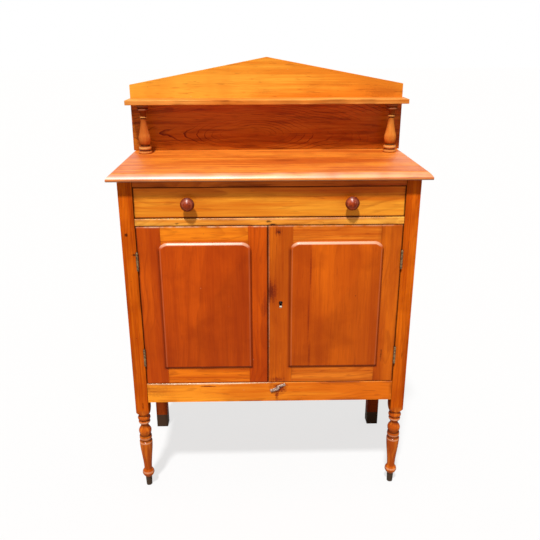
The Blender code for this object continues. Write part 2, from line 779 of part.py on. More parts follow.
def make_panel(name, x, z, anchor):
    """A panel whose rounded field laps over the front of the frame and whose body fills the opening.

    The field's edge is a swelling bevel, shaped while the field is stretched in depth.
    """
    back = DOOR_SETBACK - JOINT_GAP
    front = back - PANEL_RAISE
    bm, middle = box_bmesh(
        (x[0] - PANEL_LAP, front, z[0] - PANEL_LAP),
        (x[1] + PANEL_LAP, back, z[1] + PANEL_LAP),
    )
    stretch = PANEL_ROUND / PANEL_ROUND_DROP
    bmesh.ops.scale(bm, vec=(1, stretch, 1), verts=bm.verts)
    corners = [
        edge
        for edge in bm.edges
        if all(vert.co.z > 0 for vert in edge.verts)
        and abs(edge.verts[0].co.y - edge.verts[1].co.y) > JOINT_GAP
    ]
    round_edges(bm, corners, PANEL_CORNER, PANEL_CORNER_STEPS)
    face = min(bm.faces, key=lambda candidate: candidate.calc_center_median().y)
    round_edges(bm, list(face.edges), PANEL_ROUND, PANEL_ROUND_STEPS, PANEL_SWELL)
    bmesh.ops.scale(bm, vec=(1, 1 / stretch, 1), verts=bm.verts)
    panel = add_part(name, mesh_from(bm, name), middle, STILE_PINE, anchor)
    shade_round(panel)
    body = box_tool(
        name + "_body",
        (x[0] + JOINT_GAP, x[1] - JOINT_GAP),
        (back - PANEL_OVERLAP, DOOR_SETBACK + PANEL_BODY),
        (z[0] + JOINT_GAP, z[1] - JOINT_GAP),
    )
    combine(panel, body, "UNION")


def make_hinge(side, level, z, anchor):
    """A butt hinge: a leaf with two knuckles on the post, a leaf with one on the door, and the pin."""
    at_x = SIDES[side] * HINGE_X
    name = "hinge_" + side + "_" + level
    foot = z - HINGE_LENGTH / 2
    knuckle = (HINGE_LENGTH - 2 * KNUCKLE_GAP) / 3
    pitch = knuckle + KNUCKLE_GAP
    door_edge = HALF_OPENING - HINGE_GAP
    leaves = {
        "case_leaf": (HALF_OPENING, HALF_OPENING + HINGE_LEAF_THICKNESS, (0, 2), CASE),
        "door_leaf": (door_edge - HINGE_LEAF_THICKNESS, door_edge, (1,), anchor),
    }
    leaf_depth = (HINGE_Y + HINGE_BARREL_RADIUS + JOINT_GAP, HINGE_LEAF)
    leaf_height = (foot, foot + HINGE_LENGTH)
    for leaf_name, (near, far, knuckles, carrier) in leaves.items():
        full_name = name + "_" + leaf_name
        reach = mirrored(side, near, far)
        leaf = add_board(full_name, reach, leaf_depth, leaf_height, BRASS, carrier)
        for index in knuckles:
            span = (foot + index * pitch, foot + index * pitch + knuckle)
            tag = full_name + "_" + str(index)
            web = box_tool(tag + "_web", reach, (HINGE_Y, HINGE_LEAF / 2), span)
            barrel = round_tool(
                tag + "_knuckle",
                HINGE_BARREL_RADIUS,
                (at_x, HINGE_Y, span[0]),
                (at_x, HINGE_Y, span[1]),
                HINGE_STEPS,
            )
            combine(leaf, web, "UNION")
            combine(leaf, barrel, "UNION")
        bore = round_tool(
            full_name + "_bore",
            HINGE_PIN_RADIUS + HINGE_PIN_CLEARANCE,
            (at_x, HINGE_Y, foot - OVERCUT),
            (at_x, HINGE_Y, foot + HINGE_LENGTH + OVERCUT),
            HINGE_STEPS,
        )
        combine(leaf, bore, "DIFFERENCE")
    seat = HINGE_LENGTH + JOINT_GAP
    outline = [
        (HINGE_PIN_RADIUS, 0),
        (HINGE_PIN_RADIUS, seat),
        (HINGE_PIN_HEAD_RADIUS, seat),
        (HINGE_PIN_HEAD_RADIUS, seat + HINGE_PIN_HEAD),
    ]
    pin = add_part(name + "_pin", turn_profile(name + "_pin", outline), (at_x, HINGE_Y, foot), BRASS, CASE)
    spin(pin, HINGE_STEPS)


def make_lock(stile, other_stile, anchor):
    """A lock let into the back of the right door's meeting stile, its bolt drawn back at rest."""
    edge = MEETING_EDGE["right"] + JOINT_GAP
    inner = KEYHOLE_X + LOCK_BEYOND_KEY
    back = DOOR_BACK - JOINT_GAP
    front = DOOR_BACK - LOCK_DEPTH
    low = KEYHOLE_Z - LOCK_HEIGHT / 2
    high = KEYHOLE_Z + LOCK_HEIGHT / 2
    bolt_z = KEYHOLE_Z + BOLT_RAISE
    bolt_y = (front + back) / 2
    case = add_board("lock_case", (edge, inner), (front, back), (low, high), IRON, anchor)
    bed = box_tool(
        "lock_bed",
        (edge - OVERCUT, inner + JOINT_GAP),
        (front - JOINT_GAP, DOOR_BACK + OVERCUT),
        (low - JOINT_GAP, high + JOINT_GAP),
    )
    combine(stile, bed, "DIFFERENCE")
    half_thick = BOLT_THICKNESS / 2
    half_high = BOLT_HEIGHT / 2
    channel = box_tool(
        "lock_channel",
        (edge - OVERCUT, edge + BOLT_LENGTH + JOINT_GAP),
        (bolt_y - half_thick - JOINT_GAP, bolt_y + half_thick + JOINT_GAP),
        (bolt_z - half_high - JOINT_GAP, bolt_z + half_high + JOINT_GAP),
    )
    combine(case, channel, "DIFFERENCE")
    bolt_anchor = add_anchor("lock_bolt_axis", (edge, bolt_y, bolt_z), anchor)
    add_board(
        "lock_bolt",
        (edge, edge + BOLT_LENGTH),
        (bolt_y - half_thick, bolt_y + half_thick),
        (bolt_z - half_high, bolt_z + half_high),
        BRASS,
        bolt_anchor,
    )
    mortise_end = MEETING_EDGE["right"] - BOLT_THROW
    mortise = box_tool(
        "bolt_mortise",
        (mortise_end - 2 * JOINT_GAP, MEETING_EDGE["left"] + OVERCUT),
        (bolt_y - half_thick - 2 * JOINT_GAP, bolt_y + half_thick + 2 * JOINT_GAP),
        (bolt_z - half_high - 2 * JOINT_GAP, bolt_z + half_high + 2 * JOINT_GAP),
    )
    combine(other_stile, mortise, "DIFFERENCE")
    eye_z = KEYHOLE_Z + KEYHOLE_LENGTH / 2 - KEYHOLE_EYE_RADIUS
    mouth = DOOR_SETBACK - OVERCUT
    end = front + KEY_POCKET
    eye = round_tool(
        "keyhole_eye",
        KEYHOLE_EYE_RADIUS,
        (KEYHOLE_X, mouth, eye_z),
        (KEYHOLE_X, end, eye_z),
        TURNING_STEPS,
    )
    slots = (
        (stile, "keyhole_slot", KEYHOLE_SLOT_WIDTH, KEYHOLE_Z - KEYHOLE_LENGTH / 2),
        (case, "lock_slot", LOCK_SLOT_WIDTH, eye_z - LOCK_SLOT_DROP),
    )
    for piece, name, width, slot_foot in slots:
        across = (KEYHOLE_X - width / 2, KEYHOLE_X + width / 2)
        combine(piece, eye, "DIFFERENCE")
        combine(piece, box_tool(name, across, (mouth, end), (slot_foot, eye_z)), "DIFFERENCE")


def make_turn_button():
    """A round-ended metal button on a screw in the lower rail, turned clear of the door."""
    back = min(RAIL_SETBACK, DOOR_SETBACK) - JOINT_GAP
    middle = back - BUTTON_THICKNESS / 2
    anchor = add_anchor("turn_button_axis", (BUTTON_X, middle, BUTTON_Z), CASE)
    shape = bpy.data.curves.new("turn_button_shape", "CURVE")
    shape.dimensions = "2D"
    shape.fill_mode = "BOTH"
    shape.extrude = BUTTON_THICKNESS / 2
    spline = shape.splines.new("POLY")
    half = BUTTON_WIDTH / 2
    points = []
    for reach, heading in ((BUTTON_UPPER_ARM, 0), (BUTTON_LOWER_ARM, math.pi)):
        for step in range(2 * ROUND_POINTS + 1):
            turn = heading - math.pi / 2 + math.pi * step / (2 * ROUND_POINTS)
            end_x = (reach - half) * math.cos(heading)
            points.append((end_x + half * math.cos(turn), half * math.sin(turn)))
    spline.points.add(len(points) - 1)
    for point, (x, y) in zip(spline.points, points):
        point.co = (x, y, 0, 1)
    spline.use_cyclic_u = True
    guide = bpy.data.objects.new("turn_button_guide", shape)
    TOOLS.objects.link(guide)
    mesh = bpy.data.meshes.new_from_object(guide.evaluated_get(bpy.context.evaluated_depsgraph_get()))
    bpy.data.objects.remove(guide)
    bm = bmesh.new()
    bm.from_mesh(mesh)
    bmesh.ops.remove_doubles(bm, verts=bm.verts, dist=MERGE_DISTANCE)
    stand = Matrix.Rotation(math.pi / 2, 3, "X")
    tilt = Matrix.Rotation(-BUTTON_REST, 3, "Y")
    bmesh.ops.rotate(bm, cent=(0, 0, 0), matrix=tilt @ stand, verts=bm.verts)
    button = add_part("turn_button", mesh_from(bm, "turn_button"), (BUTTON_X, middle, BUTTON_Z), IRON, anchor)
    boss_front = back - BUTTON_THICKNESS - BUTTON_BOSS_RISE
    boss = round_tool(
        "turn_button_boss",
        BUTTON_BOSS_RADIUS,
        (BUTTON_X, boss_front, BUTTON_Z),
        (BUTTON_X, back, BUTTON_Z),
        TURNING_STEPS,
    )
    combine(button, boss, "UNION")
    hole = round_tool(
        "turn_button_hole",
        BUTTON_SCREW_RADIUS + JOINT_GAP,
        (BUTTON_X, boss_front - OVERCUT, BUTTON_Z),
        (BUTTON_X, back + OVERCUT, BUTTON_Z),
        HINGE_STEPS,
    )
    combine(button, hole, "DIFFERENCE")
    shank = RAIL_SETBACK + BUTTON_SCREW_DEPTH - (boss_front - JOINT_GAP)
    outline = [(BUTTON_SCREW_RADIUS, -shank), (BUTTON_SCREW_RADIUS, 0), (BUTTON_SCREW_HEAD_RADIUS, 0)]
    for step in range(1, ROUND_POINTS):
        turn = step / ROUND_POINTS * math.pi / 2
        outline.append((BUTTON_SCREW_HEAD_RADIUS * math.cos(turn), BUTTON_SCREW_HEAD * math.sin(turn)))
    screw = add_part(
        "turn_button_screw",
        turn_profile("turn_button_screw", outline),
        (BUTTON_X, boss_front - JOINT_GAP, BUTTON_Z),
        IRON,
        CASE,
    )
    screw.rotation_euler = (math.pi / 2, 0, 0)
    spin(screw, HINGE_STEPS)


make_front_posts()
make_back_posts()
make_rails()
make_back_boards()
make_sides()
make_inside()
make_slab()
make_gallery()
make_drawer()
left_stile, left_anchor = make_door("left")
right_stile, right_anchor = make_door("right")
make_lock(right_stile, left_stile, right_anchor)
make_turn_button()
CASE.location.y = -MIDDLE_OF_DEPTH
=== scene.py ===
"""Looks of the meat safe: finishes, finer turnings, hinges, wire gauze and a plain studio."""

import json
import math
from functools import partial, reduce

import bmesh
import bpy
import numpy as np
from mathutils import Matrix, Vector


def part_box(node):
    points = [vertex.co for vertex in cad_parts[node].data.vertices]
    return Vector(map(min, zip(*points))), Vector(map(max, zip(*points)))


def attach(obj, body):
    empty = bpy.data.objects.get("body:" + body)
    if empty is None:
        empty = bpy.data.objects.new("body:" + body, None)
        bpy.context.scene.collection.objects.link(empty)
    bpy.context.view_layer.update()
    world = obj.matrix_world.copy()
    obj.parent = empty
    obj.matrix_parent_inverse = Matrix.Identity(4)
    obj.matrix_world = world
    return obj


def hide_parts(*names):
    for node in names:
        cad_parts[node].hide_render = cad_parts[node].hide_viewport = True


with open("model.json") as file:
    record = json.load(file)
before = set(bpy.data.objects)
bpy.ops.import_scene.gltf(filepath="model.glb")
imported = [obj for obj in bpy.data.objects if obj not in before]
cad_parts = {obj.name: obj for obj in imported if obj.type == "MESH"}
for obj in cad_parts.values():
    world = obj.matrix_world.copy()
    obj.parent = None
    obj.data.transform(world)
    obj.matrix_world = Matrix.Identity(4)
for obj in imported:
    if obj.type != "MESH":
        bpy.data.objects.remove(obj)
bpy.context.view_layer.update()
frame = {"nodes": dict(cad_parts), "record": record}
NODES = frame["nodes"]
SLOT_OF = {row["node"]: row["material_slot"] for row in frame["record"]["subparts"]}
SIDES = {"left": -1, "right": 1}
LEVELS = ("upper", "lower")

# Camera, as fitted to the photograph: a square picture 540 pixels wide
PICTURE = 540
FOCAL_PIXELS = 622.57
PRINCIPAL_POINT = (263.76, 269.77)
CAMERA_PLACE = Vector((-0.0498, -2.0755, 1.5254))
CAMERA_YAW = math.radians(0.92)
CAMERA_PITCH = math.radians(19.97)
CAMERA_ROLL = math.radians(-0.24)
SENSOR = 36.0

# Light
KEY_ELEVATION = math.radians(60)
KEY_AZIMUTH = math.radians(194)
KEY_STRENGTH = 4.0
KEY_SOFTNESS = math.radians(5)
SKY_LEVEL = 0.33
SKY_TINT = (1.0, 0.90, 0.80)
SKY_SHOWN = (1.0, 1.0, 1.0)
FLOOR_BOUNCE = (0.44, 0.395, 0.35)
FLOOR_SHOWN = (0.70, 0.70, 0.70)
FLOOR_GLOW = 0.72
FLOOR_ROUGHNESS = 0.9
FLOOR_REACH = 40.0

# Geometry of the finer pieces, in metres
UP = Vector((0, 0, 1))
TO_FRONT = Vector((0, -1, 0))
FACE_FRONT = Matrix.Rotation(math.pi / 2, 3, "X")
FACE_BACK = Matrix.Rotation(-math.pi / 2, 3, "X")
FACE_SIDE = {sign: Matrix.Rotation(sign * math.pi / 2, 3, "Y") for sign in (1, -1)}
SEAM = 0.0003
CUT_PAST = 0.010
WELD = 0.000002
SHARP = math.radians(38)
ARRIS = 0.0008
RAIL_ARRIS = 0.0018
DRAWER_ARRIS = 0.0010
DOOR_RAIL_ARRIS = 0.0005
POST_ARRIS = 0.0012
LOCK_ARRIS = 0.0005
POST = 0.045
SHOULDER_FOOT = 0.3012
SHOULDER_HEIGHT = 0.0195
SHOULDER_STEPS = 16
TURNING_STEPS = 48
RING_SPACING = 0.0014
SLAB_ROUND = 0.0185
SLAB_ROUND_DROP = 0.018
SLAB_SWELL = 0.33
SLAB_UNDER_ROUND = 0.003
PANEL_CORNER = 0.032
PANEL_ROUND = 0.0084
PANEL_ROUND_DROP = 0.0066
PANEL_SWELL = 0.33
PANEL_FIELD = 0.007
PANEL_STEPS = 14
PANEL_ARRIS = 0.0006
WIRE_PITCH = 0.0032
WIRE = 0.0006
BEAD = 0.011
BEAD_ROUND = 0.0035
LEAF_THICKNESS = 0.0016
LEAF_OFF_PIN = 0.001
LEAF_ARRIS = 0.0003
HINGE_BARREL = 0.004
HINGE_STRAP = 0.004
KNUCKLE_GAP = 0.0004
KNUCKLE_ARRIS = 0.0005
# Places of a hinge leaf's screws: the share of its height, and the shift from its middle
HINGE_SCREWS = ((0.2, -0.002), (0.5, 0.003), (0.8, -0.002))
# Screw heads: radius, rise and half the slot
HINGE_SCREW = (0.0028, 0.0004, 0.0004)
LOCK_SCREW = (0.0028, 0.0005, 0.0004)
BUTTON_SCREW_RISE = 0.0019
BUTTON_SCREW_SLOT = 0.0005
BUTTON_SCREW_LIFT = 0.0004
BUTTON_SHANK = 0.014
BUTTON_REST = math.radians(33)
WING_REACHES = ((0, 0.0278), (math.pi, 0.0298))
WING_HALF = 0.0053
WING_THICKNESS = 0.0024
WING_ARRIS = 0.0009
WING_TWIST = math.radians(14)
WING_SKEW = math.radians(12)
# Outlines of turned metal: radius and height
BUTTON_BOSS = (
    (0, -0.0020), (0.0064, -0.0020), (0.0068, -0.0014), (0.0064, 0.0012), (0.0056, 0.0022), (0, 0.0024)
)
BEAD_NAIL = ((0, -0.0006), (0.0016, -0.0006), (0.0018, 0.0001), (0.0012, 0.0005), (0, 0.0006))
BACK_NAIL = ((0, -0.0008), (0.0022, -0.0008), (0.0026, 0.0001), (0.0018, 0.0005), (0, 0.0006))
BACK_NAIL_INSET = 0.006
BEAD_NAIL_INSETS = (0.05, 0.03)
BEAD_NAIL_SINK = 0.0002
# The tongue in the keyhole: its low and high corners, with depths behind the door's face. Its pale metal
# is partly a painted highlight of the hole's lit lower edge.
KEYHOLE_TONGUE = ((0.0312, 0.0012, 0.7080), (0.0398, 0.0030, 0.7148))
TONGUE_ROUND = 0.0006
# A burn on the top: its middle in X and Y, and its half sizes
SCORCH = (0.056, -0.010, 0.060, 0.030)

# Heights, or distances from an axis, over which a finish changes
POST_DEEPENS = (0.35, 0.75)
POST_STARTS = (0.302, 0.306)
LEG_ENDS = (0.312, 0.330)
LEG_WAIST = (0.0135, 0.018)
LEG_WAIST_ABOVE = (0.21, 0.23)
TOE_WORN = (0.036, 0.052)
PEG_SOOTY = (0.0335, 0.0375)
BACK_LEG_ENDS = (0.33, 0.36)
BACK_FOOT_SOOTY = (0.056, 0.0585)
COLUMN_BASE = (0.024, 0.030)
# Heights over which the columns' heads are painted darker, as painted shade from the shelf
COLUMN_SHADE_RISE = (0.080, 0.150)
# Distances from a knob's axis of its rim, painted darker as painted shade, and of a ring on its face, painted
# pale as a painted highlight
KNOB_RIM_SHADE = (0.0150, 0.0205)
KNOB_RING_HIGHLIGHT = (0.0118, 0.0138, 0.0145, 0.0165)


def srgb(red, green, blue):
    """A colour read off a screen, 0 to 255, as linear light."""
    return tuple(
        value / 12.92 if value <= 0.04045 else ((value + 0.055) / 1.055) ** 2.4
        for value in (red / 255, green / 255, blue / 255)
    )


def shade(colour, share):
    """A darker colour for a share below 1. It turns redder too, as shellacked wood does."""
    red, green, blue = colour
    return (share * red, share**1.45 * green, share**1.6 * blue)


def tone(lighter, darker):
    """The colours of a wood's lighter and darker streaks."""
    return srgb(*lighter), srgb(*darker)


# Stains, and painted shade in turned grooves, on knob rims and on the posts' inner faces
STAIN_AND_SHADE = srgb(46, 18, 9)
# Burns, and painted shadow beside the raised panels and round the turn button
BURN_AND_SHADE = srgb(128, 40, 8)
# Painted shade in gaps and under edges, and dirt down the sides of the panels
GAP = srgb(74, 18, 4)
# Pale specks in the wood, and elsewhere painted highlights
PALE = srgb(255, 214, 176)
# Painted highlights on the columns' rings
GOLD_HIGHLIGHT = srgb(255, 206, 122)
SOOT = srgb(58, 50, 40)
WORN_TOE = srgb(150, 100, 66)
POST_DEEP = srgb(172, 66, 6)
# Painted shade on the back legs
BACK_LEG_SHADE = srgb(92, 34, 14)
# Painted shade on the columns' heads, from the shelf
COLUMN_HEAD_SHADE = srgb(118, 42, 12)
# Painted shade under the shelf
SHELF_SHADE = srgb(186, 120, 54)
# Painted shade on the drawer, under the top
DRAWER_SHADE_TINT = srgb(240, 192, 168)
# A pale mark is a painted highlight
MARK_COLOURS = {"spot": STAIN_AND_SHADE, "ring": BURN_AND_SHADE, "burn": BURN_AND_SHADE, "pale": PALE}
STRAW = tone((255, 186, 76), (240, 136, 34))
HONEY = tone((255, 158, 40), (222, 110, 16))
GOLD = tone((255, 174, 52), (214, 107, 16))
AMBER = tone((234, 118, 18), (186, 74, 6))
SHADED = tone((220, 112, 28), (180, 70, 12))
RUSSET = tone((212, 90, 8), (168, 58, 4))
COPPER = tone((226, 114, 18), (180, 76, 8))
SLAB_TONE = tone((244, 146, 48), (196, 90, 23))
GABLE_TONE = tone((252, 180, 62), (228, 136, 36))
SHELF_TONE = tone((255, 184, 92), (216, 124, 42))
POST_TONE = tone((228, 112, 16), (182, 72, 5))
LEG_TONE = tone((212, 112, 26), (152, 66, 10))
BARE = tone((206, 160, 106), (168, 118, 70))
DARK_RED = tone((194, 76, 22), (116, 33, 5))
COLUMN_TONES = {
    "left": tone((228, 150, 74), (186, 92, 32)),
    "right": tone((242, 170, 80), (202, 108, 34)),
}
PANEL_TONES = {
    "left": tone((206, 84, 8), (162, 54, 4)),
    "right": tone((218, 102, 12), (174, 68, 6)),
}
DOOR_TONES = {
    "left_door_top_rail": tone((250, 142, 26), (212, 96, 10)),
    "left_door_bottom_rail": tone((238, 124, 20), (196, 84, 8)),
    "left_door_hinge_stile": RUSSET,
    "left_door_meeting_stile": tone((217, 91, 6), (173, 61, 3)),
    "right_door_top_rail": tone((246, 144, 40), (206, 96, 16)),
    "right_door_bottom_rail": tone((232, 128, 34), (190, 84, 12)),
    "right_door_hinge_stile": COPPER,
    "right_door_meeting_stile": COPPER,
}

# Marks on the fronts: kind, place in X and Z, half sizes (a ring's radius and width), strength. Spots,
# rings and burns are stains and wear, though the burns round the turn button are dirt and painted shadow
# of it; pale marks are painted highlights along lit arrises, with some wear on the right door's meeting
# stile.
MARKS = {
    "front_post_left": (
        ("spot", -0.4509, 0.9632, 0.006, 0.006, 0.85),
        ("spot", -0.4321, 0.8969, 0.009, 0.005, 0.85),
        ("spot", -0.4409, 0.344, 0.004, 0.026, 1.0),
    ),
    "front_post_right": (("spot", 0.448, 0.53, 0.003, 0.016, 0.6),),
    "left_door_panel": (("spot", -0.3507, 0.6872, 0.002, 0.002, 0.5),),
    "right_door_panel": (
        ("burn", 0.131, 0.84, 0.0035, 0.08, 0.75),
        ("burn", 0.1275, 0.68, 0.003, 0.11, 0.7),
        ("burn", 0.131, 0.54, 0.0035, 0.06, 0.75),
        ("spot", 0.2792, 0.7517, 0.0022, 0.0022, 0.8),
    ),
    "middle_rail": (
        # A painted highlight along the rail's upper arris
        ("pale", 0.0, 1.011, 0.5, 0.004, 0.2),
        ("spot", -0.004, 1.0027, 0.01, 0.005, 0.85),
        ("spot", 0.008, 0.993, 0.018, 0.004, 0.95),
        ("spot", -0.2898, 0.9972, 0.008, 0.004, 0.8),
    ),
    "bottom_rail": (
        # A painted highlight along the rail's upper arris
        ("pale", -0.21, 0.4305, 0.26, 0.006, 0.95),
        ("burn", -0.216, 0.4172, 0.03, 0.004, 0.9),
        ("burn", -0.39, 0.4, 0.06, 0.03, 0.35),
        # Round the turn button: dirt and painted shadow of the button, and the ring its sweep has worn
        ("burn", 0.032, 0.41, 0.029, 0.022, 0.9),
        ("burn", 0.037, 0.407, 0.02, 0.016, 0.9),
        ("ring", 0.028, 0.4114, 0.027, 0.008, 0.3),
        ("burn", 0.024, 0.38, 0.008, 0.024, 0.85),
    ),
    "gallery_backboard": (
        ("burn", 0.417, 1.364, 0.085, 0.022, 0.28),
        ("burn", 0.005, 1.366, 0.06, 0.01, 0.2),
        ("burn", 0.26, 1.39, 0.06, 0.01, 0.2),
    ),
    "left_door_meeting_stile": (("burn", -0.015, 0.72, 0.014, 0.05, 0.55),),
    "right_door_meeting_stile": (
        # A painted highlight with wear down the stile's edge
        ("pale", -0.003, 0.71, 0.0022, 0.4, 0.25),
        ("burn", 0.006, 0.768, 0.02, 0.05, 0.95),
        ("burn", 0.026, 0.442, 0.026, 0.012, 0.8),
        ("spot", 0.003, 0.764, 0.012, 0.04, 0.35),
        ("burn", 0.0275, 0.969, 0.014, 0.016, 0.9),
        ("spot", 0.0285, 0.967, 0.007, 0.007, 0.8),
    ),
    "right_door_hinge_stile": (("spot", 0.3765, 0.5345, 0.003, 0.032, 0.75),),
}
# Grooves of turned work painted darker, as dirt and painted shade, and rings beside them painted pale, as
# painted highlights: from, to, strength and colour
LEG_BANDS = (
    (0.19, 0.1965, 0.55, STAIN_AND_SHADE),
    (0.213, 0.217, 0.75, STAIN_AND_SHADE),
    (0.2755, 0.2785, 0.65, STAIN_AND_SHADE),
    (0.294, 0.3, 0.35, STAIN_AND_SHADE),
    # Painted highlights on the rings
    (0.056, 0.062, 0.22, PALE),
    (0.1835, 0.1885, 0.3, PALE),
    (0.2005, 0.206, 0.2, PALE),
    (0.267, 0.2725, 0.3, PALE),
)
# The same for the columns
COLUMN_BANDS = (
    (0.0, 0.0012, 0.6, STAIN_AND_SHADE),
    (0.0092, 0.0132, 0.8, STAIN_AND_SHADE),
    (0.025, 0.0285, 0.9, STAIN_AND_SHADE),
    (0.0285, 0.033, 0.4, STAIN_AND_SHADE),
    (0.119, 0.1217, 0.8, STAIN_AND_SHADE),
    # Painted highlights on the rings
    (0.0035, 0.007, 0.3, GOLD_HIGHLIGHT),
    (0.016, 0.0225, 0.45, GOLD_HIGHLIGHT),
    (0.1235, 0.1268, 0.4, GOLD_HIGHLIGHT),
    (0.15, 0.153, 0.1, PALE),
    (0.161, 0.164, 0.12, PALE),
)
# How fine each figure of the wood is: its repeats per metre across the grain and along it
GRAIN = {
    "bend": (3.5, 1.3),
    "lean": (2.0, 2.6),
    "wander": (24.0, 1.2),
    "ragged": (30.0, 14.0),
    "shown": (12.0, 3.0),
    "broad": (11.0, 1.5),
    "streak": (58.0, 1.5),
    "thread": (210.0, 5.0),
    "fibre": (800.0, 18.0),
    "pores": (300.0, 14.0),
    "flecks": (120.0, 16.0),
    "smear": (16.0, 7.0),
}
WOOD_SEEDS = iter(range(1, 200))


def arithmetic(operation):
    """A method that reckons with a value and another one, or a plain number."""
    return lambda value, other: value.paint.math(operation, value, other)


class Value:
    """A number or colour that varies over a surface. Sums and products of values are values too."""

    def __init__(self, paint, socket):
        self.paint = paint
        self.socket = socket

    __add__ = __radd__ = arithmetic("ADD")
    __mul__ = __rmul__ = arithmetic("MULTIPLY")
    __sub__ = arithmetic("SUBTRACT")
    __truediv__ = arithmetic("DIVIDE")

    def __rsub__(self, other):
        return self.paint.math("SUBTRACT", other, self)

    def __abs__(self):
        return self.paint.math("ABSOLUTE", self)

    def spread(self, low, high, to_low, to_high):
        """The span from low to high, eased into another span and held at its ends."""
        node = self.paint.new("MapRange")
        node.interpolation_type = "SMOOTHSTEP"
        return self.paint.value_of(node, dict(enumerate((self, low, high, to_low, to_high))))

    def rise(self, low, high, top=1.0):
        return self.spread(low, high, 0.0, top)

    def fall(self, low, high, top=1.0):
        return self.spread(low, high, top, 0.0)

    def between(self, rise_from, rise_to, fall_from, fall_to, top=1.0):
        """Rises from 0 and falls back to it, as this value passes the four."""
        return self.rise(rise_from, rise_to) * self.fall(fall_from, fall_to, top)


class Paint:
    """A material or a world under construction. Most methods add a node and give back its value."""

    def __init__(self, owner, shader="Principled BSDF"):
        owner.use_nodes = True
        self.owner = owner
        self.nodes = owner.node_tree.nodes
        self.links = owner.node_tree.links
        self.shader = self.nodes[shader]

    def put(self, node, inputs):
        for key, value in inputs.items():
            socket = node.inputs[key]
            if isinstance(value, Value):
                self.links.new(value.socket, socket)
            elif isinstance(value, tuple) and socket.type == "RGBA":
                socket.default_value = (*value, 1)
            else:
                socket.default_value = value

    def set(self, **inputs):
        """Fills the shader's own inputs."""
        self.put(self.shader, {name.replace("_", " "): value for name, value in inputs.items()})

    def new(self, kind):
        return self.nodes.new("ShaderNode" + kind)

    def value_of(self, node, inputs, output=0):
        self.put(node, inputs)
        return Value(self, node.outputs[output])

    def math(self, operation, *values):
        node = self.new("Math")
        node.operation = operation
        return self.value_of(node, dict(enumerate(values)))

    def least(self, *values):
        return reduce(partial(self.math, "MINIMUM"), values)

    def most(self, *values):
        return reduce(partial(self.math, "MAXIMUM"), values)

    def length(self, first, second):
        return self.math("SQRT", first * first + second * second)

    def vector(self, *parts):
        return self.value_of(self.new("CombineXYZ"), dict(enumerate(parts)))

    def noise(self, place, scale=1.0, detail=2.0, roughness=0.5):
        node = self.new("TexNoise")
        inputs = {"Vector": place, "Scale": scale, "Detail": detail, "Roughness": roughness}
        return self.value_of(node, inputs, "Fac")

    def mix(self, share, first, second, blend="MIX"):
        node = self.new("Mix")
        node.data_type = "RGBA"
        node.blend_type = blend
        return self.value_of(node, {0: share, 6: first, 7: second}, 2)

    def seen_directly(self):
        """1 for what the camera sees, straight or in a mirror or glass."""
        path = self.new("LightPath").outputs
        rays = ("Is Camera Ray", "Is Glossy Ray", "Is Transmission Ray")
        return self.most(*(Value(self, path[name]) for name in rays))


class Surface(Paint):
    """The material of a piece: places on it in metres, and its colour and shellac so far."""

    def __init__(self, name):
        super().__init__(bpy.data.materials.new(name))
        self.place = Value(self, self.new("TexCoord").outputs["Object"])
        split = self.new("SeparateXYZ")
        self.put(split, {0: self.place})
        self.axes = [Value(self, output) for output in split.outputs]
        self.x, self.y, self.z = self.axes

    def specks(self, scale, size):
        """Sparse round dots: 1 in a dot, in about a third of the cells."""
        cells = self.new("TexVoronoi")
        away = self.value_of(cells, {"Vector": self.place, "Scale": scale}, "Distance")
        draw = Value(self, cells.outputs["Color"])
        chosen = self.value_of(self.new("SeparateColor"), {0: draw})
        return away.fall(0.5 * size, size) * self.math("GREATER_THAN", chosen, 0.68)

    def streaks(self, x, y, z, detail=2.0, roughness=0.5):
        """Noise with these repeats per metre along each axis."""
        return self.noise(self.vector(self.x * x, self.y * y, self.z * z), 1.0, detail, roughness)

    def bump(self, height, strength, distance):
        node = self.new("Bump")
        inputs = {"Strength": strength, "Distance": distance, "Height": height}
        self.set(Normal=self.value_of(node, inputs))

    def lay(self, share, tint, blend="MIX"):
        """Lays a tint over the colour so far."""
        self.colour = self.mix(share, self.colour, tint, blend)

    def lay_bands(self, height, bands, blend):
        """Grooves of turned work painted darker, as dirt and painted shade, and rings painted pale, as
        painted highlights, each fading over the blend at its ends.
        """
        for foot, head, strength, tint in bands:
            ends = (foot - blend, foot + blend, head - blend, head + blend)
            self.lay(height.between(*ends, strength), tint)

    def gloss_above(self, level, amount, blend=0.001):
        """Shellac that has stayed thick above this height and is rubbed thin below it."""
        self.coat = self.z.spread(level - blend, level + blend, self.coat, amount)

    def edge_distance(self, low, high):
        """How far a point on a board's surface is from the nearest arris of its box."""
        reach = [self.least(axis - low[i], high[i] - axis) for i, axis in enumerate(self.axes)]
        return reach[0] + reach[1] + reach[2] - self.least(*reach) - self.most(*reach)


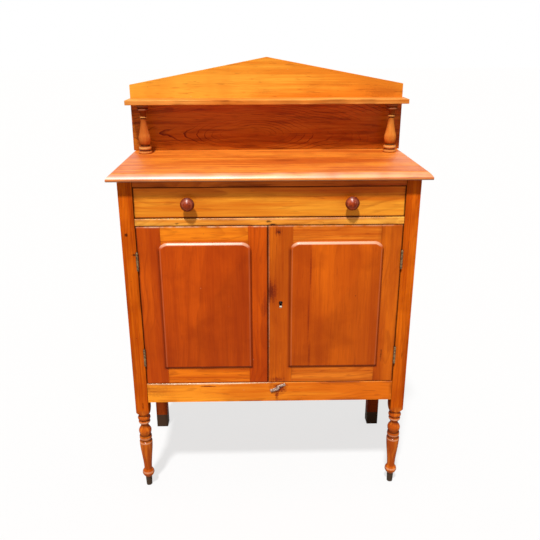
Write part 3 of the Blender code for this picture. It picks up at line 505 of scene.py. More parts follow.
def wood(
    name, order, tone, box=None, ring=0.007, pith=(0.02, 0.07), tilt=0.03, figure=0.30, late_from=0.50,
    ragged=0.0, contrast=1.0, fine=1.0, rough=0.34, shine=0.07, coat=0.03, coat_rough=0.20, grime=0.55,
    wear=0.35, line=0.0, fade=0.0, specks=0.5, coats=(),
):
    """Shellacked softwood. The order names the axes across the face, through the board and along the grain.

    Rings are cut from a log whose heart lies at the pith, off the board's middle, and leans by the tilt.
    Late wood is the dark part of each ring, from a share of its width on, and the figure is its strength.
    Ragged rings have zigzag edges. Fine is the weight of narrow streaks beside broad ones. The fade
    darkens the wood towards the high end of its grain. Grime is dirt in patches near the arrises, wear is
    patches rubbed light on them, and the line is painted shade all along them, for the dark gap round a
    piece. Each of the coats is called with the paint, to change its colour and its shellac.
    """
    paint = Surface(name + "_wood")
    light, dark = tone
    shift = 1.7 * next(WOOD_SEEDS)
    low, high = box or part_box(name)
    middle = (low + high) / 2
    half = (high - low) / 2
    indices = ["XYZ".index(letter) for letter in order]
    across, depth, along = (paint.axes[index] - middle[index] for index in indices)

    def grain(kind, detail=2.0, roughness=0.5):
        wide, long = GRAIN[kind]
        place = paint.vector(across * wide + shift, depth * wide, along * long + 0.37 * shift)
        return paint.noise(place, 1.0, detail, roughness)

    off_across = (grain("bend") - 0.5) * 0.10 + across - pith[0]
    off_depth = (grain("lean", 1) - 0.5) * 0.06 + (along * tilt + depth + pith[1])
    turns = grain("wander") * 1.1 + paint.length(off_across, off_depth) / ring
    if ragged:
        turns = grain("ragged") * ragged + turns
    late_end = late_from + 0.8 * (1 - late_from)
    late_wood = paint.math("FRACT", turns).between(late_from, late_end, late_end + 0.02, 1.0)
    late_wood = late_wood * grain("shown", 3).rise(0.40, 0.64)
    thread = grain("thread", 3, 0.6)
    fibre = grain("fibre", roughness=0.6)
    cloud = paint.noise(paint.place, 5.0 + 0.1 * shift, 3)
    smear = grain("smear", 3)

    share = grain("streak", 4, 0.62) * (0.9 * fine) + grain("broad", 3) * 1.1 + thread * (0.6 * fine)
    if fade:
        share = along * (-0.3 * fade / half[indices[2]]) + share
    middle_share = 0.5 * (1.1 + 1.5 * fine)
    span = 0.26 / contrast
    paint.colour = paint.mix(share.rise(middle_share - span, middle_share + span), dark, light)
    paint.lay(late_wood * figure, shade(dark, 0.42))
    paint.lay(fibre.rise(0.34, 0.74, 0.22), shade(dark, 0.8))
    paint.lay(grain("pores", 1).rise(0.60, 0.72, 0.30 * fine), shade(dark, 0.35))
    paint.lay(grain("flecks").rise(0.62, 0.72, 0.35 * fine), BURN_AND_SHADE)
    paint.lay(cloud.rise(0.40, 0.72, 0.40), shade(dark, 0.75))
    paint.lay(paint.specks(34.0, 0.055) * specks, STAIN_AND_SHADE)
    paint.lay(paint.specks(23.0, 0.030) * specks, PALE)
    edge = paint.edge_distance(low, high)
    dirt = edge.fall(0.001, 0.014) * smear.rise(0.44, 0.66)
    paint.lay(dirt * grime, shade(dark, 0.25))
    rubbed = edge.fall(0.0006, 0.0022) * smear.fall(0.44, 0.58)
    paint.lay(rubbed * wear, shade(light, 1.1))
    # Painted shade all along the arrises, for the dark gap round a piece
    if line:
        paint.lay(edge.fall(0.0006, 0.0042, line), GAP)
    ragged_edge = (paint.noise(paint.place, 190.0, 3, 0.6) - 0.5) * 1.2 + (thread - 0.5) * 1.8
    # Stains, burns and rings, and pale marks that are painted highlights
    for kind, x, z, wide, tall, strength in MARKS.get(name, ()):
        from_x = paint.x - x
        from_z = paint.z - z
        if kind == "ring":
            away = abs(paint.length(from_x, from_z) - wide) / tall
        else:
            away = paint.length(from_x / wide, from_z / tall)
        paint.lay((away + ragged_edge).fall(0.15, 1.10, strength), MARK_COLOURS[kind])
    paint.late_wood = late_wood
    paint.coat = coat
    for finish in coats:
        finish(paint)
    relief = late_wood * -0.35 + fibre * 0.6 + paint.noise(paint.place, 38.0, 1) * 0.9
    paint.bump(relief, 0.20, 0.0006)
    paint.set(
        Base_Color=paint.colour,
        Roughness=dirt * 0.2 + cloud.spread(0.3, 0.7, rough - 0.05, rough + 0.08),
        Specular_IOR_Level=shine,
        Coat_Weight=paint.coat,
        Coat_Roughness=coat_rough,
    )
    return paint.owner


def metal(name, light, dark, rough, metallic):
    """Aged metal: mottled, with duller patches where it has tarnished."""
    paint = Surface(name)
    patch = paint.noise(paint.place, 160.0, 4, 0.65).rise(0.38, 0.64)
    paint.bump(patch * 0.6 + paint.noise(paint.place, 900.0), 0.25, 0.0003)
    paint.set(
        Base_Color=paint.mix(patch, dark, light),
        Roughness=patch.spread(0.0, 1.0, rough + 0.18, rough),
        Metallic=metallic,
    )
    return paint.owner


def leg_coats(centre, sign, paint):
    """Turned grooves and the waist painted darker, as dirt and painted shade, rings painted pale as painted
    highlights, painted shade on the dull inner face, a worn toe and a sooty peg.
    """
    x, y, height = paint.axes
    paint.lay(height.fall(*POST_DEEPENS, 0.40), POST_DEEP)
    within = x * sign - (abs(centre.x) - POST / 2)
    inner = within.fall(0.0004, 0.0016) * height.rise(*POST_STARTS)
    below = height.fall(*LEG_ENDS)
    paint.coat = (below * 0.1 + paint.coat) * (1.0 - inner)
    # Painted shade on the post's inner face
    paint.lay(inner * 0.6, STAIN_AND_SHADE)
    paint.lay(below * 0.62, LEG_TONE[1])
    paint.lay(below * paint.streaks(90, 90, 7).rise(0.45, 0.65, 0.7), LEG_TONE[0])
    # Grooves painted darker, as dirt and painted shade, and rings painted pale, as painted highlights
    paint.lay_bands(height, LEG_BANDS, 0.001)
    out = paint.length(x - centre.x, y - centre.y)
    # The narrow waist painted darker, as dirt and painted shade
    paint.lay(out.fall(*LEG_WAIST, 0.25) * height.rise(*LEG_WAIST_ABOVE), STAIN_AND_SHADE)
    paint.lay(height.fall(*TOE_WORN, 0.75), WORN_TOE)
    paint.lay(height.fall(*PEG_SOOTY, 0.94), SOOT)


def back_leg_coats(paint):
    """Below the rails the back posts are painted darker, as painted shade, and their feet are stained."""
    # Painted shade on the back legs below the rails
    paint.lay(paint.z.fall(*BACK_LEG_ENDS, 0.72), BACK_LEG_SHADE)
    paint.lay(paint.z.fall(*BACK_FOOT_SOOTY, 0.92), SOOT)


def column_coats(foot, paint):
    """Grooves of the base and the neck painted darker, as dirt and painted shade, rings painted pale and gold
    as painted highlights, and the head painted darker as painted shade from the shelf.
    """
    height = paint.z - foot
    paint.coat = height.spread(*COLUMN_BASE, 0.2, paint.coat)
    # Painted shade from the shelf over the head of the column
    paint.lay(height.rise(*COLUMN_SHADE_RISE, 0.9), COLUMN_HEAD_SHADE)
    # Grooves painted darker, as dirt and painted shade, and rings painted as highlights
    paint.lay_bands(height, COLUMN_BANDS, 0.0006)


def knob_coats(centre, paint):
    """A ring on the face painted pale, as a painted highlight, a rim painted darker, as painted shade, and
    shellac that has stayed thick above.
    """
    from_axis = paint.length(paint.x - centre.x, paint.z - centre.z)
    # Painted shade round the rim
    paint.lay(from_axis.rise(*KNOB_RIM_SHADE, 0.50), STAIN_AND_SHADE)
    # A painted highlight on a ring of the face
    paint.lay(from_axis.between(*KNOB_RING_HIGHLIGHT, 0.05), PALE)
    paint.gloss_above(centre.z + 0.004, 0.7, 0.005)


def slab_coats(paint):
    """A dark scorch on the flat, thicker shellac round the edge with a painted highlight along it, and
    painted shade along the foot of the edge.
    """
    low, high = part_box("top_slab")
    x, y, z = paint.axes
    down = high.z - z
    ragged = paint.streaks(12, 90, 0) - 0.5
    away = paint.length((x - SCORCH[0]) / SCORCH[2], (y - SCORCH[1]) / SCORCH[3]) + ragged * 3.0
    paint.coat = down.spread(0.001, 0.003, 0.10, 1.0)
    paint.lay(away.fall(0.2, 1.2, 0.45), BURN_AND_SHADE)
    patchy = paint.streaks(9, 9, 0).spread(0.35, 0.65, 0.05, 0.25)
    # A painted highlight along the rounded edge
    paint.lay(down.between(0.0, 0.004, 0.014, 0.020, patchy), PALE)
    # Painted shade along the underside of the edge
    paint.lay((z - low.z).fall(0.001, 0.006, 0.8), GAP)


def panel_rim(low, high, paint):
    """Dirt down the sides of a raised panel with a thin painted highlight inside it, painted shade along its
    foot, and thick shellac and a painted highlight on its upper edge.
    """
    x, y, z = paint.axes
    down = high.z - z
    from_side = paint.least(x - low.x, high.x - x)
    below = down.rise(0.008, 0.030)
    paint.lay(below * from_side.fall(0.002, 0.007, 0.60), GAP)
    # A thin painted highlight inside each side
    paint.lay(below * from_side.between(0.0055, 0.0070, 0.0080, 0.0100, 0.07), PALE)
    gloss_and_highlight = (y - low.y).rise(0.0001, 0.0006) * down.fall(0.0075, 0.0200, 0.9)
    paint.coat = gloss_and_highlight + paint.coat
    # A painted highlight on the upper edge
    paint.lay(gloss_and_highlight * 0.4, PALE)
    # Painted shade along the panel's foot
    paint.lay((z - low.z).fall(0.002, 0.009, 0.60), GAP)


def panel_shade(side, paint):
    """Darker bands on a door's frame round its panel: painted shadow of the raised panel below it, old polish
    gathered on its left, and a thinner dark band on its right.
    """
    low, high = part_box(side + "_door_panel")
    x, _, z = paint.axes
    beside = z.between(low.z - 0.006, low.z, high.z - 0.030, high.z - 0.010)
    under = x.between(low.x - 0.006, low.x, high.x, high.x + 0.004)
    # Left: old polish; right: a thin dark band; below: painted shadow of the panel
    for outside, along, reach, strength in (
        (low.x - x, beside, 0.0075, 0.50),
        (x - high.x, beside, 0.0035, 0.35),
        (low.z - z, under, 0.0110, 0.60),
    ):
        paint.lay(outside.between(-0.002, 0.0, 0.2 * reach, reach, strength) * along, BURN_AND_SHADE)


def door_rim(paint):
    """Painted shade in the gaps round the outside of both doors, and a painted highlight along their upper
    edge.
    """
    low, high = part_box("left_door_hinge_stile")
    right_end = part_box("right_door_hinge_stile")[1].x
    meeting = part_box("left_door_meeting_stile")[1].x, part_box("right_door_meeting_stile")[0].x
    x, _, z = paint.axes
    from_middle = abs(x - sum(meeting) / 2) - (meeting[1] - meeting[0]) / 2
    reach = paint.least(x - low.x, right_end - x, from_middle, z - low.z)
    # Painted shade in the gaps round the doors
    paint.lay(reach.fall(0.0006, 0.0042, 0.75), GAP)
    # A painted highlight along the doors' upper edge, strongest on the left door
    patchy = paint.streaks(26, 0, 0).spread(0.38, 0.58, 0.06, 0.5)
    upper = (high.z - z).fall(0.0020, 0.0050) * x.spread(*meeting, 1.0, 0.45)
    paint.lay(upper * patchy, PALE)


def drawer_face(paint):
    """The drawer is painted redder above, as painted shade under the top, with painted shade in the gap at
    its foot and painted light just above it.
    """
    low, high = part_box("drawer_front")
    up = paint.z - low.z
    # Painted shade under the top
    paint.lay(up.rise(0.055, high.z - low.z - 0.012, 0.9), DRAWER_SHADE_TINT, "MULTIPLY")
    # Painted shade in the gap at the foot
    paint.lay(up.fall(0.0015, 0.0045, 0.85), GAP)
    # Painted light just above the foot
    paint.lay(up.between(0.003, 0.009, 0.010, 0.040, 0.3), GOLD[0])


def rail_coats(node, gloss, paint):
    """Thick shellac along a rail's upper edge, and painted shade along the lower edge of the one above the
    doors.
    """
    low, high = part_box(node)
    if node == "middle_rail":
        # Painted shade in the gap above the doors
        paint.lay((paint.z - low.z).fall(0.0015, 0.0040, 0.75), GAP)
    paint.gloss_above(high.z - 0.003, gloss)


def under_shelf(paint):
    """Under the shelf the backboard's face has stronger streaks and late wood, and is painted darker and
    redder, as painted shade from the shelf.
    """
    low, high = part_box("gallery_shelf")
    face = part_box("gallery_backboard")[0].y
    shelf_shaded = paint.z.fall(low.z - 0.002, high.z) * (paint.y - face).fall(0.001, 0.004)
    streaks = paint.streaks(6, 0, 75, 4, 0.6)
    paint.lay(shelf_shaded * streaks.fall(0.36, 0.50, 0.42), BURN_AND_SHADE)
    paint.lay(shelf_shaded * streaks.rise(0.50, 0.66, 0.50), STRAW[0])
    paint.lay(shelf_shaded * paint.late_wood * 0.9, BURN_AND_SHADE)
    # Painted shade under the shelf
    paint.lay(shelf_shaded * 0.8, SHELF_SHADE, "MULTIPLY")


def new_object(name, data):
    made = bpy.data.objects.new(name, data)
    bpy.context.scene.collection.objects.link(made)
    return made


def add_piece(name, mesh, body, slot, material, *replaces):
    """A piece of its own, from a mesh or from a shape under construction, in place of any nodes named."""
    if isinstance(mesh, bmesh.types.BMesh):
        mesh = mesh_from(mesh, name)
    piece = new_object(name, mesh)
    mesh.materials.append(material)
    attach(piece, body)
    if replaces:
        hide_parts(*replaces)


def finished(bm, name):
    """The mesh of a shape under construction, which is then freed."""
    mesh = bpy.data.meshes.new(name)
    bm.to_mesh(mesh)
    bm.free()
    return mesh


def smoothed(mesh):
    mesh.shade_smooth()
    mesh.set_sharp_from_angle(angle=SHARP)
    return mesh


def mesh_from(bm, name):
    bmesh.ops.remove_doubles(bm, verts=bm.verts, dist=WELD)
    bmesh.ops.recalc_face_normals(bm, faces=bm.faces)
    return smoothed(finished(bm, name))


def add_copy(bm, part):
    """Adds another shape under construction to this one, and frees it."""
    mesh = finished(part, "part")
    bm.from_mesh(mesh)
    bpy.data.meshes.remove(mesh)


def rotate(bm, turn):
    bmesh.ops.rotate(bm, cent=(0, 0, 0), matrix=turn, verts=bm.verts)


def move(bm, step):
    bmesh.ops.translate(bm, vec=step, verts=bm.verts)


def scale_from(bm, place, amounts):
    bmesh.ops.scale(bm, vec=amounts, space=Matrix.Translation(-Vector(place)), verts=bm.verts)


def round_edges(bm, edges, radius, steps, swell=0.5, clamp=False):
    bmesh.ops.bevel(
        bm, geom=edges, offset=radius, segments=steps, profile=swell, affect="EDGES", clamp_overlap=clamp
    )


def add_box(bm, low, high, round_off=0.0, steps=3):
    """A box in this mesh, with its edges rounded."""
    made = bmesh.ops.create_cube(bm, size=1)["verts"]
    low, high = Vector(low), Vector(high)
    bmesh.ops.scale(bm, vec=high - low, verts=made)
    bmesh.ops.translate(bm, vec=(low + high) / 2, verts=made)
    if round_off:
        edges = list({edge for vert in made for edge in vert.link_edges})
        round_edges(bm, edges, round_off, steps, clamp=True)


def profile_of(node, centre, axis, top=None):
    """The (radius, height) outline of a turned node, up its axis from the centre."""
    points = set()
    for vert in NODES[node].data.vertices:
        height = (vert.co - centre).dot(axis)
        radius = (vert.co - centre - height * axis).length
        if top is None or height < top:
            points.add((round(radius, 5), round(height, 5)))
    outline = [(0.0, min(height for _, height in points))]
    for height in sorted({height for _, height in points}):
        level = sorted(
            (point for point in points if point[1] == height),
            key=lambda point: abs(point[0] - outline[-1][0]),
        )
        outline += [point for point in level if point != outline[-1]]
    if outline[-1][0] > 0 and top is None:
        outline.append((0.0, outline[-1][1]))
    return outline


def smooth_run(run):
    """A run of rising points as a smooth curve through them, with no overshoot."""
    radius, height = (np.array(column) for column in zip(*run))
    step = np.diff(height)
    slope = np.diff(radius) / step
    tangent = np.zeros(len(run))
    tangent[0], tangent[-1] = slope[0], slope[-1]
    for index in range(1, len(run) - 1):
        before, after = slope[index - 1], slope[index]
        if before * after > 0:
            tangent[index] = 2 * before * after / (before + after)
    smooth = []
    for index, length in enumerate(step):
        count = max(1, math.ceil(length / RING_SPACING))
        t = np.arange(count) / count
        ends = (2 * t**3 - 3 * t**2 + 1) * radius[index] + (3 * t**2 - 2 * t**3) * radius[index + 1]
        pull = (t**3 - 2 * t**2 + t) * tangent[index] + (t**3 - t**2) * tangent[index + 1]
        smooth += zip(ends + length * pull, height[index] + t * length)
    return smooth + [run[-1]]


def smooth_outline(outline):
    """The outline with its curves made fine and its square steps kept."""
    smooth = []
    run = [outline[0]]
    for point in outline[1:] + [None]:
        if point and point[1] - run[-1][1] > 0.00001:
            run.append(point)
            continue
        smooth += smooth_run(run) if len(run) > 1 else run
        run = [point]
    return smooth


def lathe(bm, outline, centre, turn=None, steps=TURNING_STEPS):
    """Turns an outline about +Z, lays it over by the turn, and sets it at the centre."""
    piece = bmesh.new()
    verts = [piece.verts.new((radius, 0, height)) for radius, height in outline]
    edges = [piece.edges.new(pair) for pair in zip(verts, verts[1:])]
    bmesh.ops.spin(
        piece, geom=verts + edges, cent=(0, 0, 0), axis=UP, angle=math.tau, steps=steps, use_merge=True
    )
    bmesh.ops.remove_doubles(piece, verts=piece.verts, dist=WELD)
    if turn:
        rotate(piece, turn)
    move(piece, centre)
    add_copy(bm, piece)


def scratch(bm):
    """A throwaway object for a Boolean."""
    bmesh.ops.recalc_face_normals(bm, faces=bm.faces)
    return new_object("scratch", finished(bm, "scratch"))


def carve(base, *steps):
    """The base's mesh after these (operation, helper) steps. The base and the helpers are then removed."""
    for operation, helper in steps:
        modifier = base.modifiers.new(operation, "BOOLEAN")
        modifier.operation = operation
        modifier.solver = "EXACT"
        modifier.object = helper
    graph = bpy.context.evaluated_depsgraph_get()
    mesh = bpy.data.meshes.new_from_object(base.evaluated_get(graph))
    for helper in [base] + [helper for _, helper in steps]:
        bpy.data.objects.remove(helper)
    return smoothed(mesh)


def build_front_post(side):
    """A square post is cut by a turned shoulder, joined to a turned leg, and bedded for its hinges."""
    corner = POST * math.sqrt(0.5)
    head = SHOULDER_FOOT + SHOULDER_HEIGHT
    half = Vector((POST / 2, POST / 2, 0))
    sign = SIDES[side]
    node = "front_post_" + side
    low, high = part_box(node)
    centre = Vector(((low.x + high.x) / 2, (low.y + high.y) / 2, 0))
    leg = smooth_outline(profile_of(node, centre, UP, SHOULDER_FOOT - SEAM))
    neck = leg[-1][0]
    leg += [(neck, head), (0, head)]
    shoulder = [(0, SHOULDER_FOOT - SEAM), (neck + 0.001, SHOULDER_FOOT - SEAM)]
    for step in range(1, SHOULDER_STEPS + 1):
        share = step / SHOULDER_STEPS
        flare = math.sin(share * math.pi / 2) * (corner - neck)
        shoulder.append((neck + flare, SHOULDER_FOOT + SHOULDER_HEIGHT * share))
    shoulder.append((corner + CUT_PAST, head + CUT_PAST))
    shoulder += [(corner + CUT_PAST, high.z + CUT_PAST), (0, high.z + CUT_PAST)]
    bm = bmesh.new()
    add_box(bm, centre - half + UP * SHOULDER_FOOT, centre + half + UP * high.z, POST_ARRIS)
    post = scratch(bm)
    steps = []
    for operation, outline in (("INTERSECT", shoulder), ("UNION", leg)):
        bm = bmesh.new()
        lathe(bm, outline, centre)
        steps.append((operation, scratch(bm)))
    inner = abs(centre.x) - POST / 2
    near, far = sorted((sign * (inner - CUT_PAST), sign * (inner + LEAF_THICKNESS + SEAM)))
    for level in LEVELS:
        foot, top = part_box(f"hinge_{side}_{level}_case_leaf")
        bm = bmesh.new()
        add_box(bm, (near, low.y - CUT_PAST, foot.z - SEAM), (far, top.y + SEAM, top.z + SEAM))
        steps.append(("DIFFERENCE", scratch(bm)))
    finish = wood(
        node, "XYZ", POST_TONE, ring=0.008, pith=(0.05, 0.05), fade=-0.2, grime=0.35, wear=0.5,
        specks=0.8, shine=0.0, coat=0.06, coats=[partial(leg_coats, centre, sign)],
    )
    add_piece(node + "_turned", carve(post, *steps), "case", "rail_pine", finish, node)


def build_column(side):
    node = "gallery_column_" + side
    low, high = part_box(node)
    centre = Vector(((low.x + high.x) / 2, (low.y + high.y) / 2, low.z))
    bm = bmesh.new()
    lathe(bm, smooth_outline(profile_of(node, centre, UP)), centre)
    finish = wood(
        node, "XYZ", COLUMN_TONES[side], ring=0.009, pith=(0.004, 0.030), figure=0.12, fine=0.4, contrast=0.8,
        shine=0.0, grime=0.0, wear=0.0, coat=0.0, coats=[partial(column_coats, low.z)],
    )
    add_piece(node + "_turned", bm, "case", "stile_pine", finish, node)


def build_knob(side):
    node = "drawer_knob_" + side
    low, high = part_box(node)
    centre = Vector(((low.x + high.x) / 2, high.y, (low.z + high.z) / 2))
    bm = bmesh.new()
    lathe(bm, smooth_outline(profile_of(node, centre, TO_FRONT)), centre, FACE_FRONT)
    finish = wood(
        node, "XZY", DARK_RED, ring=0.004, pith=(0.01, 0.02), coat=0.10, coat_rough=0.32, grime=0.0, wear=0.0,
        coats=[partial(knob_coats, centre)],
    )
    add_piece(node + "_turned", bm, "drawer", "knob_wood", finish, node)


def build_slab():
    """The top. Its edge is a swelling bevel, shaped while the slab is stretched in height."""
    low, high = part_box("top_slab")
    stretch = SLAB_ROUND / SLAB_ROUND_DROP
    bm = bmesh.new()
    add_box(bm, low, high)
    scale_from(bm, low, (1, 1, stretch))
    stretched_top = low.z + stretch * (high.z - low.z)
    rims = ((stretched_top, SLAB_ROUND, 16, SLAB_SWELL), (low.z, SLAB_UNDER_ROUND, 5, 0.5))
    for level, radius, steps, swell in rims:
        rim = [
            edge
            for edge in bm.edges
            if all(abs(vert.co.z - level) < SEAM for vert in edge.verts)
            and not all(abs(vert.co.y - high.y) < SEAM for vert in edge.verts)
        ]
        round_edges(bm, rim, radius, steps, swell)
    scale_from(bm, low, (1, 1, 1 / stretch))
    finish = wood(
        "top_slab", "YZX", SLAB_TONE, ring=0.014, pith=(0.05, 0.20), tilt=0.05, rough=0.40, shine=0.20,
        coat_rough=0.36, grime=0.2, wear=0.2, late_from=0.7, fine=1.3, contrast=1.2, coats=[slab_coats],
    )
    add_piece("top_slab_rounded", bm, "case", "slab_pine", finish, "top_slab")


def build_panel(side):
    """A raised panel. Its field's edge is lower than wide: it is shaped while stretched in depth."""
    stretch = PANEL_ROUND / PANEL_ROUND_DROP
    node = side + "_door_panel"
    low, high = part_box(node)
    field_back = low.y + PANEL_FIELD
    bm = bmesh.new()
    add_box(bm, low, (high.x, field_back, high.z))
    scale_from(bm, low, (1, stretch, 1))
    upper_corners = [
        edge
        for edge in bm.edges
        if all(vert.co.z > high.z - SEAM for vert in edge.verts)
        and abs(edge.verts[0].co.y - edge.verts[1].co.y) > SEAM
    ]
    round_edges(bm, upper_corners, PANEL_CORNER, PANEL_STEPS)
    face = min(bm.faces, key=lambda candidate: candidate.calc_center_median().y)
    round_edges(bm, list(face.edges), PANEL_ROUND, PANEL_STEPS, PANEL_SWELL, clamp=True)
    scale_from(bm, low, (1, 1 / stretch, 1))
    top_low, top_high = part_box(side + "_door_top_rail")
    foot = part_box(side + "_door_bottom_rail")[1].z + SEAM
    add_box(bm, (top_low.x, field_back - SEAM, foot), (top_high.x, high.y, top_low.z - SEAM), PANEL_ARRIS)
    finish = wood(
        node, "XYZ", PANEL_TONES[side], ring=0.012, pith=(0.03, 0.16), figure=0.18, fine=0.45, contrast=0.75,
        rough=0.38, coat_rough=0.36, grime=0.0, wear=0.0, specks=0.35, coats=[partial(panel_rim, low, high)],
    )
    add_piece(node + "_raised", bm, side + "_door", "stile_pine", finish, node)


def dress(node, material, arris):
    """A solid that keeps its shape: softened arrises and its own finish."""
    obj = NODES[node]
    obj.data.materials.clear()
    obj.data.materials.append(material)
    obj.modifiers.new("weld", "WELD").merge_threshold = 0.00001
    flat = obj.modifiers.new("flat", "DECIMATE")
    flat.decimate_type = "DISSOLVE"
    flat.angle_limit = math.radians(1)
    bevel = obj.modifiers.new("arris", "BEVEL")
    bevel.width = arris
    bevel.segments = 3
    bevel.limit_method = "ANGLE"
    bevel.angle_limit = math.radians(40)
    obj.modifiers.new("normals", "WEIGHTED_NORMAL").keep_sharp = False


def board(node, order, tone, arris=ARRIS, **settings):
    dress(node, wood(node, order, tone, **settings), arris)


def dress_boards():
    for node, tone, fade, gloss in (
        ("top_rail", SHADED, 0.0, 0.3),
        ("middle_rail", STRAW, 0.0, 0.3),
        ("bottom_rail", HONEY, 1.2, 0.8),
    ):
        coats = [partial(rail_coats, node, gloss)]
        board(node, "ZYX", tone, RAIL_ARRIS, fade=fade, fine=0.8, wear=0.5, coat_rough=0.18, coats=coats)
    board(
        "drawer_front", "ZYX", GOLD, DRAWER_ARRIS, ring=0.010, pith=(0.03, 0.09), fine=0.7, grime=0.2,
        wear=0.2, line=0.85, coats=[drawer_face],
    )
    board(
        "gallery_backboard", "ZYX", GABLE_TONE, pith=(-0.105, 0.020), tilt=0.20, fade=0.5, figure=0.4,
        late_from=0.80, ragged=1.2, coats=[under_shelf],
    )
    board("gallery_shelf", "YZX", SHELF_TONE, RAIL_ARRIS, ring=0.006, rough=0.45)
    for side in SIDES:
        coats = [back_leg_coats]
        board("back_post_" + side, "XYZ", RUSSET, POST_ARRIS, rough=0.5, shine=0.02, coat=0.0, coats=coats)
        board("side_top_board_" + side, "ZXY", AMBER, ring=0.010)
        board("side_bottom_rail_" + side, "ZXY", AMBER, POST_ARRIS)
        frame_coats = [partial(panel_shade, side), door_rim]
        for rail, coats in (("top_rail", [door_rim]), ("bottom_rail", frame_coats)):
            node = f"{side}_door_{rail}"
            board(node, "ZYX", DOOR_TONES[node], DOOR_RAIL_ARRIS, grime=0.25, wear=0.0, coats=coats)
        for stile in ("hinge_stile", "meeting_stile"):
            node = f"{side}_door_{stile}"
            board(
                node, "XYZ", DOOR_TONES[node], fade=-0.9 if node == "left_door_meeting_stile" else 0.0,
                fine=0.5, contrast=0.85, grime=0.3, wear=0.2, coats=frame_coats,
            )
        for part in ("shelf_bearer_", "drawer_runner_", "drawer_side_"):
            board(part + side, "ZXY", BARE, rough=0.6, coat=0.0)
    for order, nodes in (
        ("ZYX", ("back_board_lower", "back_board_middle", "back_board_upper", "drawer_back")),
        ("YZX", ("cupboard_floor", "cupboard_shelf", "drawer_bottom")),
    ):
        for node in nodes:
            board(node, order, BARE, rough=0.6, coat=0.0, ring=0.010, pith=(0.06, 0.12))


def add_loft(bm, layers):
    """A solid through layers of points, with as many points in each."""
    layers = [[bm.verts.new(point) for point in layer] for layer in layers]
    for below, above in zip(layers, layers[1:]):
        for index in range(len(below)):
            bm.faces.new((below[index - 1], below[index], above[index], above[index - 1]))
    bm.faces.new(layers[0])
    bm.faces.new(layers[-1])


def half_moons(bm, centre, turn, radius, rise, slot):
    """A screw's slotted head: two half discs side by side, facing +Z before the turn."""
    start = math.asin(slot / radius)
    angles = [start + (math.pi - 2 * start) * step / 12 for step in range(13)]
    for sign in (-1, 1):
        layers = []
        for height, inset in ((0.0, 0.0), (0.6 * rise, 0.0), (rise, 0.16)):
            layer = []
            for angle in angles:
                x = radius * math.cos(angle) * (1 - inset)
                y = sign * (slot + (radius * math.sin(angle) - slot) * (1 - inset))
                layer.append(turn @ Vector((x, y, height)) + Vector(centre))
            layers.append(layer)
        add_loft(bm, layers)


def build_hinge_leaf(finish, side, level, leaf):
    """One leaf of a butt hinge, with its knuckles and screws. The case's leaf has the outer two knuckles."""
    sign = SIDES[side]
    on_case = leaf == "case"
    low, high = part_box(f"hinge_{side}_{level}_case_leaf")
    at_x = (low.x + high.x) / 2
    at_y = low.y + HINGE_BARREL
    leaf_y = at_y + HINGE_BARREL
    knuckle = (high.z - low.z - 2 * KNUCKLE_GAP) / 3
    if on_case:
        inner = abs(at_x) + LEAF_OFF_PIN
    else:
        inner = abs(at_x) - LEAF_OFF_PIN - LEAF_THICKNESS
    outer = inner + LEAF_THICKNESS
    near, far = sorted((sign * inner, sign * outer))
    bm = bmesh.new()
    add_box(bm, (near, leaf_y + SEAM, low.z), (far, high.y, high.z), LEAF_ARRIS, 2)
    outline = [
        (0, 0),
        (HINGE_BARREL - KNUCKLE_ARRIS, 0),
        (HINGE_BARREL, KNUCKLE_ARRIS),
        (HINGE_BARREL, knuckle - KNUCKLE_ARRIS),
        (HINGE_BARREL - KNUCKLE_ARRIS, knuckle),
        (0, knuckle),
    ]
    for index in (0, 2) if on_case else (1,):
        foot = low.z + index * (knuckle + KNUCKLE_GAP)
        strap_end = (far, leaf_y + HINGE_STRAP, foot + knuckle)
        add_box(bm, (near, at_y, foot), strap_end, LEAF_ARRIS, 2)
        lathe(bm, outline, (at_x, at_y, foot), steps=28)
    face_x = sign * (inner if on_case else outer)
    facing = FACE_SIDE[-sign if on_case else sign]
    for part, shift in HINGE_SCREWS:
        place = (face_x, (leaf_y + high.y) / 2 + shift, low.z + part * (high.z - low.z))
        half_moons(bm, place, facing, *HINGE_SCREW)
    body = "case" if on_case else side + "_door"
    node = f"hinge_{side}_{level}_{leaf}_leaf"
    add_piece(node + "_made", bm, body, "brass", finish, node)


def build_button(finish):
    low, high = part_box("turn_button")
    screw_low, screw_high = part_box("turn_button_screw")
    pivot = (screw_low + screw_high) / 2
    bm = bmesh.new()
    for half_turn, reach in WING_REACHES:
        # A flat wing, twisted on its length and laid askew, so that the two wings step past each other
        wing = bmesh.new()
        corner = Vector((reach / 2, WING_HALF, WING_THICKNESS / 2))
        add_box(wing, -corner, corner, WING_ARRIS, 4)
        rotate(wing, Matrix.Rotation(WING_TWIST, 3, "X"))
        rotate(wing, Matrix.Rotation(-WING_SKEW, 3, "Z"))
        move(wing, (reach / 2, 0, 0))
        rotate(wing, Matrix.Rotation(half_turn, 3, "Z"))
        add_copy(bm, wing)
    lathe(bm, BUTTON_BOSS, (0, 0, 0))
    rotate(bm, Matrix.Rotation(-BUTTON_REST, 3, "Y") @ FACE_FRONT)
    move(bm, (pivot.x, (low.y + high.y) / 2, pivot.z))
    add_piece("turn_button_wings", bm, "turn_button", "iron", finish, "turn_button")

    bm = bmesh.new()
    radius = (screw_high.x - screw_low.x) / 2
    head_y = low.y - BUTTON_SCREW_LIFT
    head = (pivot.x, head_y, pivot.z)
    half_moons(bm, head, FACE_FRONT, radius, BUTTON_SCREW_RISE, BUTTON_SCREW_SLOT)
    shank = [(0, 0), (0.6 * radius, 0), (0.6 * radius, BUTTON_SHANK), (0, BUTTON_SHANK)]
    lathe(bm, shank, (pivot.x, head_y + BUTTON_SHANK, pivot.z), FACE_FRONT, 20)
    add_piece("turn_button_screw_slotted", bm, "case", "iron", finish, "turn_button_screw")


